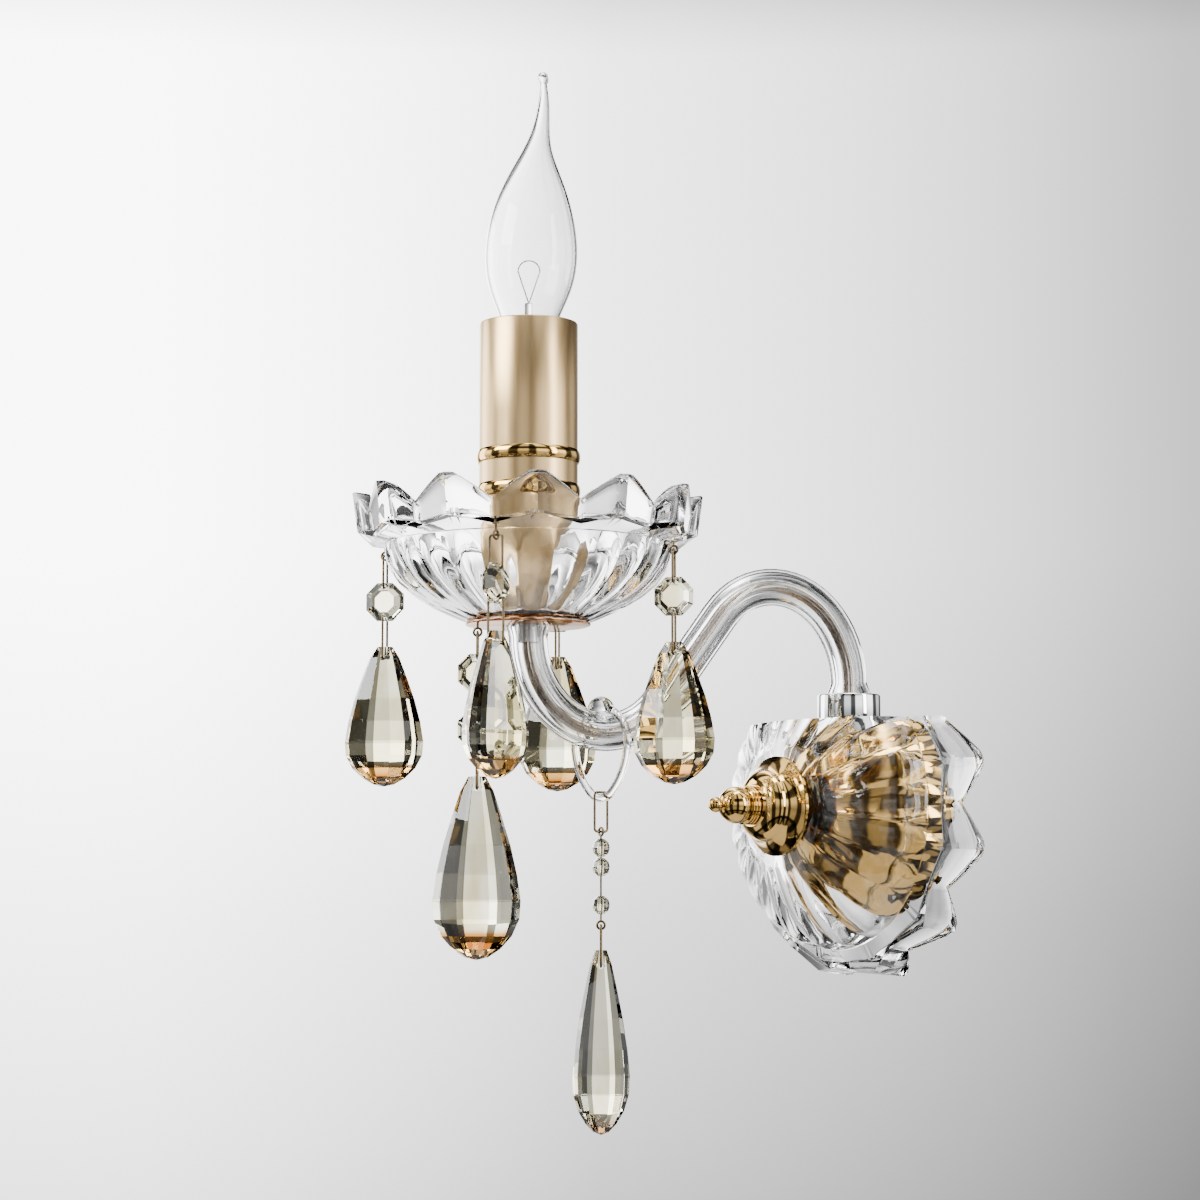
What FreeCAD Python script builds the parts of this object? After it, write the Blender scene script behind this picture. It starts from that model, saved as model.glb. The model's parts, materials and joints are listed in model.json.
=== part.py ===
import FreeCAD, Part

import math
import os
import re

import Sketcher

# A wall light in clear ribbed glass, gilt metal and cut crystal drops. Millimetres.
# The origin is on the wall, on the axis of the round wall dish. +Z is up, and the
# light stands out from the wall towards -Y.

doc = FreeCAD.newDocument("crystal_wall_sconce")
dims = doc.addObject("Spreadsheet::Sheet", "dims")

sizes = {
    # wall bracket and the rod that carries everything
    "bracket_length": 78,
    "bracket_width": 18,
    "bracket_thickness": 2,
    "fixing_spacing": 60,
    "fixing_diameter": 5,
    "rod_diameter": 6,
    "rod_fit": 0.1,
    "rod_setback": 0.3,
    "rod_spare": 1,
    "nut_across": 10,
    "nut_height": 5,
    "earth_offset": 20,
    "earth_diameter": 7,
    "earth_height": 2.6,
    "block_length": 18,
    "block_height": 12,
    "block_depth": 17,
    "block_offset": 14,
    "block_rise": 2,
    "well_radius": 1.7,
    "well_floor": 3,
    # gilt canopy shell under the wall dish
    "canopy_radius": 44,
    "canopy_depth": 40,
    "canopy_wall": 1.2,
    "shelf_height": 33,
    "wall_gap": 0.5,
    "washer_radius": 9,
    "washer_thickness": 6,
    # the pressed glass blank, used for the wall dish and for the candle bowl
    "petal_count": 12,
    "glass_depth": 47,
    "glass_wall": 3,
    "glass_floor": 4,
    "glass_foot_radius": 22,
    "fullness_ratio": 2.5,
    "ledge_height": 28,
    "ledge_inner_radius": 52,
    "ledge_width": 10,
    "ledge_rise": 2,
    "rim_flare": 2,
    "dish_spread_ratio": 1.05,
    "petal_notch": 10,
    "petal_shoulder": 3,
    "valley_ratio": 0.945,
    "shoulder_ratio": 0.975,
    # cap cup and finial in front of the wall dish
    "cap_radius": 19,
    "cap_lip": 1.8,
    "cap_waist_radius": 13.5,
    "cap_waist_height": 7,
    "cap_top_radius": 8,
    "cap_height": 13.2,
    "cap_wall": 1.2,
    "cap_flare_round": 12,
    "cap_waist_band": 1,
    "cap_shoulder_round": 9,
    "cap_edge": 1,
    "ridge_radius": 7.4,
    "ridge_height": 1.4,
    "ridge_round": 1.05,
    "bead_seat_radius": 6.4,
    "bead_radius": 7,
    "ball_radius": 2.9,
    "ball_neck_radius": 1.8,
    "ball_neck_length": 0.5,
    "finial_bore_depth": 8,
    # chromed collar that holds the glass arm
    "arm_foot": 15,
    "collar_radius": 12.25,
    "collar_height": 11,
    "collar_floor": 3,
    "collar_round": 1,
    "arm_fit": 0.2,
    "arm_nipple_radius": 5,
    "arm_nipple_bore": 3.2,
    "arm_nipple_spare": 1,
    "arm_nut_across": 15,
    # glass arm
    "arm_reach": 164,
    "arm_radius": 7.1,
    "arm_bore": 4.3,
    "arm_foot_radius": 9,
    "arm_head_radius": 8.2,
    "arch_radius": 35.5,
    "arch_level": 48.5,
    "dip_radius": 33,
    "dip_level": 58.6,
    "lead_radius": 2.5,
    "lead_bend": 9,
    "lead_drop": 17,
    # glass loop and saddle ball on the arm
    "loop_setback": 32,
    "loop_radius": 12.5,
    "loop_rod": 1.5,
    "loop_bottom": 1.3,
    "loop_toe_radius": 5.5,
    "saddle_radius": 5,
    "saddle_rise": 8,
    # candle bowl and what stands in it
    "disc_radius": 22.8,
    "disc_thickness": 1.2,
    "bowl_base": 64,
    "nipple_radius": 4,
    "nipple_bore": 2.8,
    "nipple_length": 67.5,
    "nipple_tail": 6,
    "nipple_fit": 0.2,
    "cup_foot_radius": 10.5,
    "cup_mouth_radius": 17.6,
    "cup_height": 41.5,
    "cup_wall": 1,
    "cup_nut_across": 12,
    "sleeve_radius": 18,
    "sleeve_wall": 1.2,
    "sleeve_height": 64.5,
    "ring_width": 0.6,
    "ring_height": 4.8,
    "ring_round": 4.4,
    "ring_lift": 12.6,
    "ring_fit": 0.1,
    # lampholder and lamp
    "holder_radius": 12.5,
    "holder_height": 33,
    "holder_floor": 3,
    "holder_skirt_height": 18.2,
    "holder_neck_height": 19.8,
    "holder_step": 1.2,
    "thread_shell_radius": 8,
    "thread_shell_wall": 0.7,
    "thread_shell_height": 19,
    "thread_shell_lift": 12,
    "shell_fit": 0.3,
    "contact_radius": 3.8,
    "contact_height": 6.4,
    "tip_radius": 2.5,
    "tip_height": 4,
    "lamp_cap_radius": 6.9,
    "lamp_cap_height": 24.5,
    "lamp_cap_taper": 1,
    "lamp_cap_toe": 1.5,
    "lamp_gap": 0.3,
    "lamp_radius": 17.5,
    "lamp_wall": 0.8,
    "lamp_height": 109.3,
    "lamp_tip_shift": 5.6,
    "stem_radius": 3.2,
    "stem_height": 22,
    "stem_pinch_radius": 1.6,
    "stem_pinch_height": 13.2,
    "filament_wire": 0.5,
    "filament_span": 8,
    "filament_height": 12,
    # wire links and cut crystals
    "wire_diameter": 0.9,
    "wire_corner": 1.2,
    "wire_play": 0.2,
    "eye_radius": 1.4,
    "gem_hole": 1.7,
    "gem_girdle": 0.8,
    "octagon_across": 14,
    "octagon_thickness": 6,
    "octagon_table": 8,
    "octagon_inset": 1.8,
    "octagon_link": 5.6,
    "drop_link": 6.6,
    "drop_inset": 4.4,
    "drop_taper_ratio": 1.3,
    "drop_widest_ratio": 0.64,
    "drop_facet_count": 14,
    "crown_ratio": 0.7,
    "crown_rise_ratio": 0.62,
    "table_ratio": 0.36,
    # four strands round the bowl
    "hook_radius": 1.2,
    "hook_clearance": 0.89,
    "hook_drop": 2.5,
    "hook_head_lift": 0.35,
    "bowl_link_height": 11.7,
    "bowl_drop_link_height": 15.7,
    "bowl_drop_length": 51,
    "bowl_drop_width": 29.5,
    "bowl_drop_thickness": 18,
    # strand in front, under the disc
    "front_offset": 21.5,
    "front_eye_drop": 3.3,
    "front_link_height": 9.6,
    "front_drop_link_height": 16.1,
    "front_drop_length": 65,
    "front_drop_width": 31.4,
    "front_drop_thickness": 18,
    # strand under the arm's glass loop
    "clip_height": 14.4,
    "bead_size": 6.6,
    "bead_hole": 1.2,
    "bead_wire_diameter": 0.76,
    "bead_first": 5.9,
    "bead_second": 12.9,
    "bead_last": 26.7,
    "chain_length": 34,
    "arm_link_height": 15,
    "arm_drop_length": 66.5,
    "arm_drop_width": 21,
    "arm_drop_thickness": 13,
    "arm_drop_inset": 6,
    "strand_turn": -35,
}

for row, (name, size) in enumerate(sizes.items(), start=1):
    dims.set(f"A{row}", name)
    dims.set(f"B{row}", str(size))
    dims.setAlias(f"B{row}", name)
doc.recompute()

# Places that follow from the sizes. s is the distance out from the wall.
derived = {
    "rod_hole": "rod_diameter / 2 + rod_fit",
    "washer_seat": "canopy_depth",
    "ledge_outer_radius": "ledge_inner_radius + ledge_width",
    "glass_rim_radius": "ledge_outer_radius + rim_flare",
    "strand_radius": "ledge_outer_radius * valley_ratio - glass_wall - hook_radius"
                     " - hook_clearance",
    "glass_inside": "canopy_depth + washer_thickness",
    "glass_foot": "glass_inside + glass_floor",
    "finial_seat": "glass_foot + cap_height",
    "bead_centre": "3 * ridge_height + sqrt(bead_radius ^ 2 - bead_seat_radius ^ 2)",
    "bead_top": "bead_centre + sqrt(bead_radius ^ 2 - ball_neck_radius ^ 2)",
    "ball_low": "bead_top + ball_neck_length",
    "ball_centre": "ball_low + sqrt(ball_radius ^ 2 - ball_neck_radius ^ 2)",
    "collar_seat": "shelf_height + collar_floor",
    "arm_start": "collar_seat + arm_fit",
    "disc_bottom": "bowl_base - disc_thickness",
    "cup_base": "bowl_base + glass_floor",
    "cup_top": "cup_base + cup_height",
    "nipple_start": "disc_bottom - nipple_tail",
    "nipple_end": "nipple_start + nipple_length",
    "holder_base": "nipple_end - holder_floor",
    "contact_top": "nipple_end + contact_height",
    "tip_base": "contact_top + lamp_gap",
    "lamp_cap_base": "tip_base + tip_height",
    "lamp_base": "lamp_cap_base + lamp_cap_height",
    "chamber_radius": "thread_shell_radius + shell_fit",
    "arch_centre": "arm_foot + arch_radius",
    "dip_centre": "arm_reach - dip_radius",
    "loop_place": "arm_reach - loop_setback",
    "dip_height": "dip_level - dip_radius",
}


def link(text):
    """Write the sheet's name before every size in an expression."""
    def full(match):
        word = match.group(0)
        if word in derived:
            return "(" + link(derived[word]) + ")"
        return "dims." + word if word in sizes else word
    return re.sub(r"[a-z]+(?:_[a-z]+)+", full, text)


def value(text):
    """The number that an expression of sizes gives."""
    return float(dims.evalExpression(link(text)))


def vector(x, y, z):
    return FreeCAD.Vector(value(x), value(y), value(z))


UPRIGHT = FreeCAD.Rotation()
OUTWARD = FreeCAD.Rotation(FreeCAD.Vector(1, 0, 0), 90)
ABOUT_FACE = FreeCAD.Rotation(FreeCAD.Vector(0, 0, 1), 180)

pieces = []


def put(thing, place, facing=UPRIGHT):
    """Bind an object's place to the sheet."""
    thing.Placement = FreeCAD.Placement(vector(*place), facing)
    for axis, text in zip("xyz", place):
        if text != "0":
            thing.setExpression("Placement.Base." + axis, link(text))


def keep(thing, label):
    """Name a finished sub-part."""
    thing.Label = label
    pieces.append(thing)
    return thing


def shaped(label, shape, place=None):
    """A sub-part whose shape is worked out in code."""
    thing = doc.addObject("Part::Feature", label)
    thing.Shape = shape
    if place is not None:
        thing.Placement = place
    return keep(thing, label)


def origin_plane(body, role):
    return [part for part in body.Origin.OriginFeatures if part.Role == role][0]


def new_sketch(body, name, role):
    sketch = body.newObject("Sketcher::SketchObject", name)
    sketch.AttachmentSupport = (origin_plane(body, role), [""])
    sketch.MapMode = "FlatFace"
    return sketch


def pin_point(sketch, edge, end, across, up):
    """Dimension one point of a sketch from its origin."""
    for kind, axis, text in (("DistanceX", -2, across), ("DistanceY", -1, up)):
        if text == "0":
            sketch.addConstraint(Sketcher.Constraint("PointOnObject", edge, end, axis))
            continue
        number = sketch.addConstraint(
            Sketcher.Constraint(kind, -1, 1, edge, end, value(text)))
        sketch.setExpression(f"Constraints[{number}]", link(text))


def arc_between(first, last, radius):
    """A round stretch under half a circle; a positive radius turns anticlockwise."""
    chord = last - first
    half = chord.Length / 2
    rise = math.sqrt(max(radius * radius - half * half, 0.0))
    left = FreeCAD.Vector(-chord.y, chord.x, 0).normalize()
    centre = (first + last) * 0.5 + left * (rise if radius > 0 else -rise)
    start, stop = (first, last) if radius > 0 else (last, first)
    angles = [math.atan2(point.y - centre.y, point.x - centre.x) for point in (start, stop)]
    circle = Part.Circle(centre, FreeCAD.Vector(0, 0, 1), abs(radius))
    return Part.ArcOfCircle(circle, angles[0], angles[1])


def outline(body, name, role, corners):
    """A closed sketch. A corner's third value is the radius of the edge that reaches it."""
    sketch = new_sketch(body, name, role)
    points = [vector(corner[0], corner[1], "0") for corner in corners]
    ends = []
    for index, corner in enumerate(corners):
        first, last = points[index - 1], points[index]
        if len(corner) == 3:
            radius = value(corner[2])
            edge = sketch.addGeometry(arc_between(first, last, radius), False)
            number = sketch.addConstraint(Sketcher.Constraint("Radius", edge, abs(radius)))
            size = corner[2] if radius > 0 else "-(" + corner[2] + ")"
            sketch.setExpression(f"Constraints[{number}]", link(size))
            ends.append((edge, 1, 2) if radius > 0 else (edge, 2, 1))
        else:
            edge = sketch.addGeometry(Part.LineSegment(first, last), False)
            ends.append((edge, 1, 2))
    for index, corner in enumerate(corners):
        edge, _, end = ends[index]
        following, start, _ = ends[(index + 1) % len(ends)]
        sketch.addConstraint(Sketcher.Constraint("Coincident", edge, end, following, start))
        pin_point(sketch, edge, end, corner[0], corner[1])
    return sketch


def turned(label, place, corners, facing=UPRIGHT):
    """A body of revolution. Corners are (radius, height)."""
    body = doc.addObject("PartDesign::Body", label)
    sketch = outline(body, label + "_profile", "XZ_Plane", corners)
    turn = body.newObject("PartDesign::Revolution", label + "_turn")
    turn.Profile = sketch
    turn.ReferenceAxis = (sketch, ["V_Axis"])
    turn.Angle = 360
    sketch.Visibility = False
    body.Tip = turn
    put(body, place, facing)
    return keep(body, label)


def tube(label, place, outer, inner, height, facing=UPRIGHT):
    return turned(label, place,
                  [(inner, "0"), (outer, "0"), (outer, height), (inner, height)], facing)


def primitive(kind, name, place, facing=UPRIGHT, **lengths):
    thing = doc.addObject(kind, name)
    for key, text in lengths.items():
        setattr(thing, key, value(text))
        thing.setExpression(key, link(text))
    put(thing, place, facing)
    return thing


def cut(label, base, tool):
    thing = doc.addObject("Part::Cut", label)
    thing.Base = base
    thing.Tool = tool
    return thing


def hex_nut(label, place, across, hole, height, facing=UPRIGHT):
    blank = doc.addObject("Part::Prism", label + "_blank")
    blank.Polygon = 6
    for key, text in (("Circumradius", "(" + across + ") / sqrt(3)"), ("Height", height)):
        setattr(blank, key, value(text))
        blank.setExpression(key, link(text))
    put(blank, place, facing)
    bore = primitive("Part::Cylinder", label + "_bore", place, facing,
                     Radius=hole, Height=height)
    return keep(cut(label, blank, bore), label)


# ---- wall bracket, rod, nuts and terminals ----

def wall_bracket():
    body = doc.addObject("PartDesign::Body", "wall_bracket")
    sketch = outline(body, "bracket_outline", "XY_Plane", [
        ("-bracket_length / 2", "-bracket_width / 2"),
        ("bracket_length / 2", "-bracket_width / 2"),
        ("bracket_length / 2", "bracket_width / 2"),
        ("-bracket_length / 2", "bracket_width / 2"),
    ])
    holes = (("0", "rod_hole"), ("fixing_spacing / 2", "fixing_diameter / 2"),
             ("-fixing_spacing / 2", "fixing_diameter / 2"))
    for across, radius in holes:
        circle = Part.Circle(vector(across, "0", "0"), FreeCAD.Vector(0, 0, 1), value(radius))
        edge = sketch.addGeometry(circle, False)
        number = sketch.addConstraint(Sketcher.Constraint("Radius", edge, value(radius)))
        sketch.setExpression(f"Constraints[{number}]", link(radius))
        pin_point(sketch, edge, 3, across, "0")
    pad = body.newObject("PartDesign::Pad", "bracket_plate")
    pad.Profile = sketch
    pad.setExpression("Length", link("bracket_thickness"))
    body.Tip = pad
    put(body, ("0", "0", "0"), OUTWARD)
    keep(body, "wall_bracket")


def terminal_block():
    place = ("-block_offset - block_length", "-bracket_thickness - block_depth", "block_rise")
    block = primitive("Part::Box", "terminal_blank", place,
                      Length="block_length", Width="block_depth", Height="block_height")
    wells = []
    for number, share in enumerate(("0.25", "0.75")):
        wells.append(primitive(
            "Part::Cylinder", f"terminal_well_{number}",
            ("-block_offset - " + share + " * block_length",
             "-bracket_thickness - block_depth + well_floor",
             "block_rise + block_height / 2"),
            OUTWARD, Radius="well_radius", Height="block_depth"))
    first = cut("terminal_first_cut", block, wells[0])
    keep(cut("terminal_block", first, wells[1]), "terminal_block")


def wall_hardware():
    wall_bracket()
    rod_length = "finial_seat + finial_bore_depth - rod_spare"
    rod = primitive("Part::Cylinder", "centre_rod", ("0", "-rod_setback", "0"), OUTWARD,
                    Radius="rod_diameter / 2", Height=rod_length)
    keep(rod, "centre_rod")
    hex_nut("bracket_nut", ("0", "-bracket_thickness", "0"), "nut_across", "rod_hole",
            "nut_height", OUTWARD)
    hex_nut("canopy_nut", ("0", "-canopy_depth + canopy_wall + nut_height", "0"),
            "nut_across", "rod_hole", "nut_height", OUTWARD)
    turned("earth_screw", ("earth_offset", "-bracket_thickness", "0"), [
        ("0", "0"), ("earth_diameter / 2", "0"), ("earth_diameter / 2", "earth_height / 2"),
        ("earth_diameter / 4", "earth_height", "earth_diameter / 3"), ("0", "earth_height")],
        OUTWARD)
    terminal_block()


# ---- gilt canopy shell with its flat shelf ----

def canopy_shell():
    profile = [("rod_hole", "wall_gap"), ("canopy_radius", "wall_gap"),
               ("canopy_radius - canopy_depth + wall_gap", "canopy_depth",
                "canopy_depth - wall_gap"),
               ("rod_hole", "canopy_depth")]
    hollow = [("0", "0"), ("canopy_radius - canopy_wall", "0"),
              ("canopy_radius - canopy_wall", "wall_gap"),
              ("canopy_radius - canopy_depth + wall_gap", "canopy_depth - canopy_wall",
               "canopy_depth - wall_gap - canopy_wall"),
              ("0", "canopy_depth - canopy_wall")]
    shapes = []
    for name, corners, top in (("canopy_outside", profile, "shelf_height"),
                               ("canopy_inside", hollow, "shelf_height - canopy_wall")):
        body = turned(name, ("0", "0", "0"), corners, OUTWARD)
        pieces.remove(body)
        above = primitive("Part::Box", name + "_above",
                          ("-canopy_radius", "-2 * canopy_depth", top),
                          Length="2 * canopy_radius", Width="3 * canopy_depth",
                          Height="canopy_radius")
        shapes.append(cut(name + "_flat", body, above))
    shell = cut("canopy_hollowed", shapes[0], shapes[1])
    hole = primitive("Part::Cylinder", "canopy_arm_hole",
                     ("0", "-arm_foot", "shelf_height - 2 * canopy_wall"),
                     Radius="arm_nipple_radius + rod_fit", Height="collar_height")
    keep(cut("canopy_shell", shell, hole), "canopy_shell")
    tube("dish_washer", ("0", "-washer_seat", "0"), "washer_radius", "rod_hole",
         "washer_thickness", OUTWARD)


# ---- pressed glass blank: bowl, ledge and a band of pointed petals ----

def face_of(corners):
    return Part.Face(Part.makePolygon(corners + corners[:1]))


def band(lower, upper, flat=True):
    """The faces between two rings of points."""
    faces = []
    count = len(lower)
    for index in range(count):
        after = (index + 1) % count
        square = [lower[index], lower[after], upper[after], upper[index]]
        if flat:
            faces.append(face_of(square))
        else:
            faces.append(face_of(square[:3]))
            faces.append(face_of([square[0], square[2], square[3]]))
    return faces


def solid_of(faces):
    shell = Part.Shell(faces)
    solid = Part.Solid(shell)
    if solid.Volume < 0:
        solid.reverse()
    return solid


def petal_ratios():
    """How far in each point of a ring lies: ridge, shoulder, valley, shoulder."""
    cycle = [1.0, value("shoulder_ratio"), value("valley_ratio"), value("shoulder_ratio")]
    return cycle * int(value("petal_count"))


def glass_ring(radius, height):
    """One level ring of the blank."""
    ratios = petal_ratios()
    ring = []
    for index, ratio in enumerate(ratios):
        angle = 2 * math.pi * index / len(ratios)
        ring.append(FreeCAD.Vector(radius * ratio * math.cos(angle),
                                   radius * ratio * math.sin(angle), height))
    return ring


def petal_ring(low, high):
    """The pointed edge between a low and a high (radius, height)."""
    tip = value("glass_depth")
    cycle = [tip, tip - value("petal_shoulder"), tip - value("petal_notch"),
             tip - value("petal_shoulder")] * int(value("petal_count"))
    ring = []
    for index, (ratio, height) in enumerate(zip(petal_ratios(), cycle)):
        share = (height - low[1]) / (high[1] - low[1])
        radius = (low[0] + share * (high[0] - low[0])) * ratio
        angle = 2 * math.pi * index / len(cycle)
        ring.append(FreeCAD.Vector(radius * math.cos(angle), radius * math.sin(angle), height))
    return ring


def bowl_curve(share):
    """Radius, height and slope of the bowl's outside, from foot (0) to ledge (1)."""
    spread = value("ledge_inner_radius - glass_foot_radius")
    power = value("fullness_ratio")
    radius = value("glass_foot_radius") + spread * (1 - (1 - share) ** power)
    slope = spread * power * (1 - share) ** (power - 1) / value("ledge_height")
    return radius, share * value("ledge_height"), slope


# The levels of the bowl's rings, as shares of the ledge's height.
BOWL_SHARES = (0, 0.14, 0.32, 0.58, 1)


def glass_blank(spread):
    """The blank with its foot on z = 0, its petals upwards and its radii spread."""
    wall = value("glass_wall")
    outside = []
    inside = []
    for share in BOWL_SHARES:
        radius, height, slope = bowl_curve(share)
        lean = math.hypot(1, slope)
        outside.append((radius, height))
        inside.append((radius - wall / lean, max(height + wall * slope / lean,
                                                 value("glass_floor"))))
    ledge = value("ledge_height + ledge_rise")
    outside.append((value("ledge_outer_radius"), ledge))
    inside[-1] = (inside[-1][0], inside[-1][1] + wall)
    inside.append((value("ledge_outer_radius") - wall, ledge + wall))
    tip = value("glass_depth")
    outer_tip = (value("glass_rim_radius"), tip)
    inner_tip = (value("glass_rim_radius") - wall, tip)
    outside, inside = ([(radius * spread, height) for radius, height in side]
                       for side in (outside + [outer_tip], inside + [inner_tip]))
    outer_rings = [glass_ring(*point) for point in outside[:-1]]
    inner_rings = [glass_ring(*point) for point in inside[:-1]]
    outer_rings.append(petal_ring(*outside[-2:]))
    inner_rings.append(petal_ring(*inside[-2:]))
    faces = [face_of(outer_rings[0][::-1]), face_of(inner_rings[0])]
    for lower, upper in zip(outer_rings, outer_rings[1:]):
        faces += band(lower, upper)
    for lower, upper in zip(inner_rings, inner_rings[1:]):
        faces += band(upper, lower)
    faces += band(outer_rings[-1], inner_rings[-1], flat=False)
    return solid_of(faces)


def ledge_levels(radius):
    """Under and upper side of the ledge at a radius on a valley line."""
    wall = value("glass_wall")
    ratio = value("valley_ratio")
    inner = value("ledge_inner_radius")
    outer = value("ledge_outer_radius")
    share = (radius / ratio - inner) / (outer - inner)
    top_share = (radius / ratio - (inner - wall)) / (outer - inner)
    under = value("ledge_height") + share * value("ledge_rise")
    upper = value("ledge_height") + wall + top_share * value("ledge_rise")
    return under, upper


def wall_dish():
    half_petal = 180 / value("petal_count")
    dish = glass_blank(value("dish_spread_ratio"))
    dish.rotate(FreeCAD.Vector(), FreeCAD.Vector(0, 0, 1), half_petal)
    dish.rotate(FreeCAD.Vector(), FreeCAD.Vector(1, 0, 0), -90)
    dish.translate(FreeCAD.Vector(0, -value("glass_foot"), 0))
    reach = value("glass_rim_radius * dish_spread_ratio + glass_wall")
    above = Part.makeBox(2 * reach, 2 * reach, reach,
                         FreeCAD.Vector(-reach, -reach, value("shelf_height")))
    hole = Part.makeCylinder(value("rod_hole"), 3 * reach,
                             FreeCAD.Vector(0, reach, 0), FreeCAD.Vector(0, -1, 0))
    shaped("wall_dish", dish.cut(above).cut(hole))


def candle_bowl():
    hole = Part.makeCylinder(value("nipple_radius + nipple_fit"), value("glass_depth"),
                             FreeCAD.Vector(0, 0, -1))
    bowl = glass_blank(1).cut(hole)
    for angle in strand_angles.values():
        turn = math.radians(angle)
        radius = value("strand_radius")
        place = FreeCAD.Vector(radius * math.cos(turn), radius * math.sin(turn), 0)
        bowl = bowl.cut(Part.makeCylinder(value("gem_hole") / 2, value("glass_depth"), place))
    shaped("candle_bowl", bowl,
           FreeCAD.Placement(vector("0", "-arm_reach", "bowl_base"), UPRIGHT))


# ---- cap cup and finial ----

def cap_and_finial():
    turned("cap_cup", ("0", "-glass_foot", "0"), [
        ("cap_radius - cap_wall", "0"),
        ("cap_radius", "0"),
        ("cap_radius", "cap_lip"),
        ("cap_waist_radius", "cap_waist_height", "-cap_flare_round"),
        ("cap_waist_radius", "cap_waist_height + cap_waist_band"),
        ("cap_top_radius", "cap_height - cap_edge", "cap_shoulder_round"),
        ("cap_top_radius", "cap_height"),
        ("rod_hole", "cap_height"),
        ("rod_hole", "cap_height - cap_wall"),
        ("cap_top_radius - cap_wall", "cap_height - cap_wall"),
        ("cap_waist_radius - 2 * cap_wall", "cap_waist_height"),
        ("cap_radius - 2 * cap_wall", "cap_lip"),
    ], OUTWARD)
    ridges = [("ridge_radius", "0")]
    for number in (1, 2, 3):
        ridges.append(("ridge_radius", f"{number} * ridge_height", "ridge_round"))
    turned("finial", ("0", "-finial_seat", "0"), [
        ("rod_hole", "0"),
        *ridges,
        ("bead_seat_radius", "3 * ridge_height"),
        ("bead_radius", "bead_centre", "bead_radius"),
        ("ball_neck_radius", "bead_top", "bead_radius"),
        ("ball_neck_radius", "ball_low"),
        ("ball_radius", "ball_centre", "ball_radius"),
        ("0", "ball_centre + ball_radius", "ball_radius"),
        ("0", "finial_bore_depth"),
        ("rod_hole", "finial_bore_depth"),
    ], OUTWARD)


# ---- glass arm, its collar and the lead inside it ----

def arm_collar():
    turned("arm_collar", ("0", "-arm_foot", "shelf_height"), [
        ("arm_nipple_radius + rod_fit", "0"),
        ("collar_radius", "0"),
        ("collar_radius", "collar_height - collar_round"),
        ("collar_radius - collar_round", "collar_height", "collar_round"),
        ("arm_foot_radius + arm_fit", "collar_height"),
        ("arm_foot_radius + arm_fit", "collar_floor"),
        ("arm_nipple_radius + rod_fit", "collar_floor"),
    ])
    below = "canopy_wall + nut_height + arm_nipple_spare"
    tube("arm_nipple", ("0", "-arm_foot", "shelf_height - (" + below + ")"),
         "arm_nipple_radius", "arm_nipple_bore", "collar_floor + " + below)
    hex_nut("arm_nipple_nut", ("0", "-arm_foot", "shelf_height - canopy_wall - nut_height"),
            "arm_nut_across", "arm_nipple_radius + rod_fit", "nut_height")


def bent_path(body, name, low, high):
    """The arm's centre line: up, over the arch, down, through the dip and up."""
    sketch = new_sketch(body, name, "YZ_Plane")
    foot, reach = value("arm_foot"), value("arm_reach")
    arch, dip = value("arch_radius"), value("dip_radius")
    first = vector("arch_centre", "arch_level", "0")
    second = vector("dip_centre", "dip_level", "0")
    between = second - first
    slope = math.atan2(between.y, between.x) - math.asin((arch + dip) / between.Length)
    normal = FreeCAD.Vector(-math.sin(slope), math.cos(slope), 0)
    start, finish = first + normal * arch, second - normal * dip
    up = FreeCAD.Vector(0, 0, 1)
    turn = math.atan2(normal.y, normal.x)
    foot_point = FreeCAD.Vector(foot, value(low), 0)
    head_point = FreeCAD.Vector(reach, value(high), 0)
    sketch.addGeometry([
        Part.LineSegment(foot_point, FreeCAD.Vector(foot, first.y, 0)),
        Part.ArcOfCircle(Part.Circle(first, up, arch), turn, math.pi),
        Part.LineSegment(start, finish),
        Part.ArcOfCircle(Part.Circle(second, up, dip), turn + math.pi, 2 * math.pi),
        Part.LineSegment(FreeCAD.Vector(reach, second.y, 0), head_point),
    ], False)
    joints = ((0, 2, 1, 2), (1, 1, 2, 1), (2, 2, 3, 1), (3, 2, 4, 1))
    for joint in joints:
        sketch.addConstraint(Sketcher.Constraint("Tangent", *joint))
    sketch.addConstraint(Sketcher.Constraint("Vertical", 0))
    sketch.addConstraint(Sketcher.Constraint("Vertical", 4))
    for edge, text in ((1, "arch_radius"), (3, "dip_radius")):
        number = sketch.addConstraint(Sketcher.Constraint("Radius", edge, value(text)))
        sketch.setExpression(f"Constraints[{number}]", link(text))
    pin_point(sketch, 0, 1, "arm_foot", low)
    pin_point(sketch, 4, 2, "arm_reach", high)
    for edge, end, text in ((0, 2, "arch_level"), (4, 1, "dip_level")):
        number = sketch.addConstraint(
            Sketcher.Constraint("DistanceY", -1, 1, edge, end, value(text)))
        sketch.setExpression(f"Constraints[{number}]", link(text))
    return sketch


def round_section(body, name, level, radii):
    """Circles in a level plane on the arm's foot."""
    sketch = new_sketch(body, name, "XY_Plane")
    sketch.AttachmentOffset = FreeCAD.Placement(vector("0", "0", level), UPRIGHT)
    sketch.setExpression("AttachmentOffset.Base.z", link(level))
    for radius in radii:
        circle = Part.Circle(vector("0", "arm_foot", "0"), FreeCAD.Vector(0, 0, 1), value(radius))
        edge = sketch.addGeometry(circle, False)
        number = sketch.addConstraint(Sketcher.Constraint("Radius", edge, value(radius)))
        sketch.setExpression(f"Constraints[{number}]", link(radius))
        pin_point(sketch, edge, 3, "0", "arm_foot")
    return sketch


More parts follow.
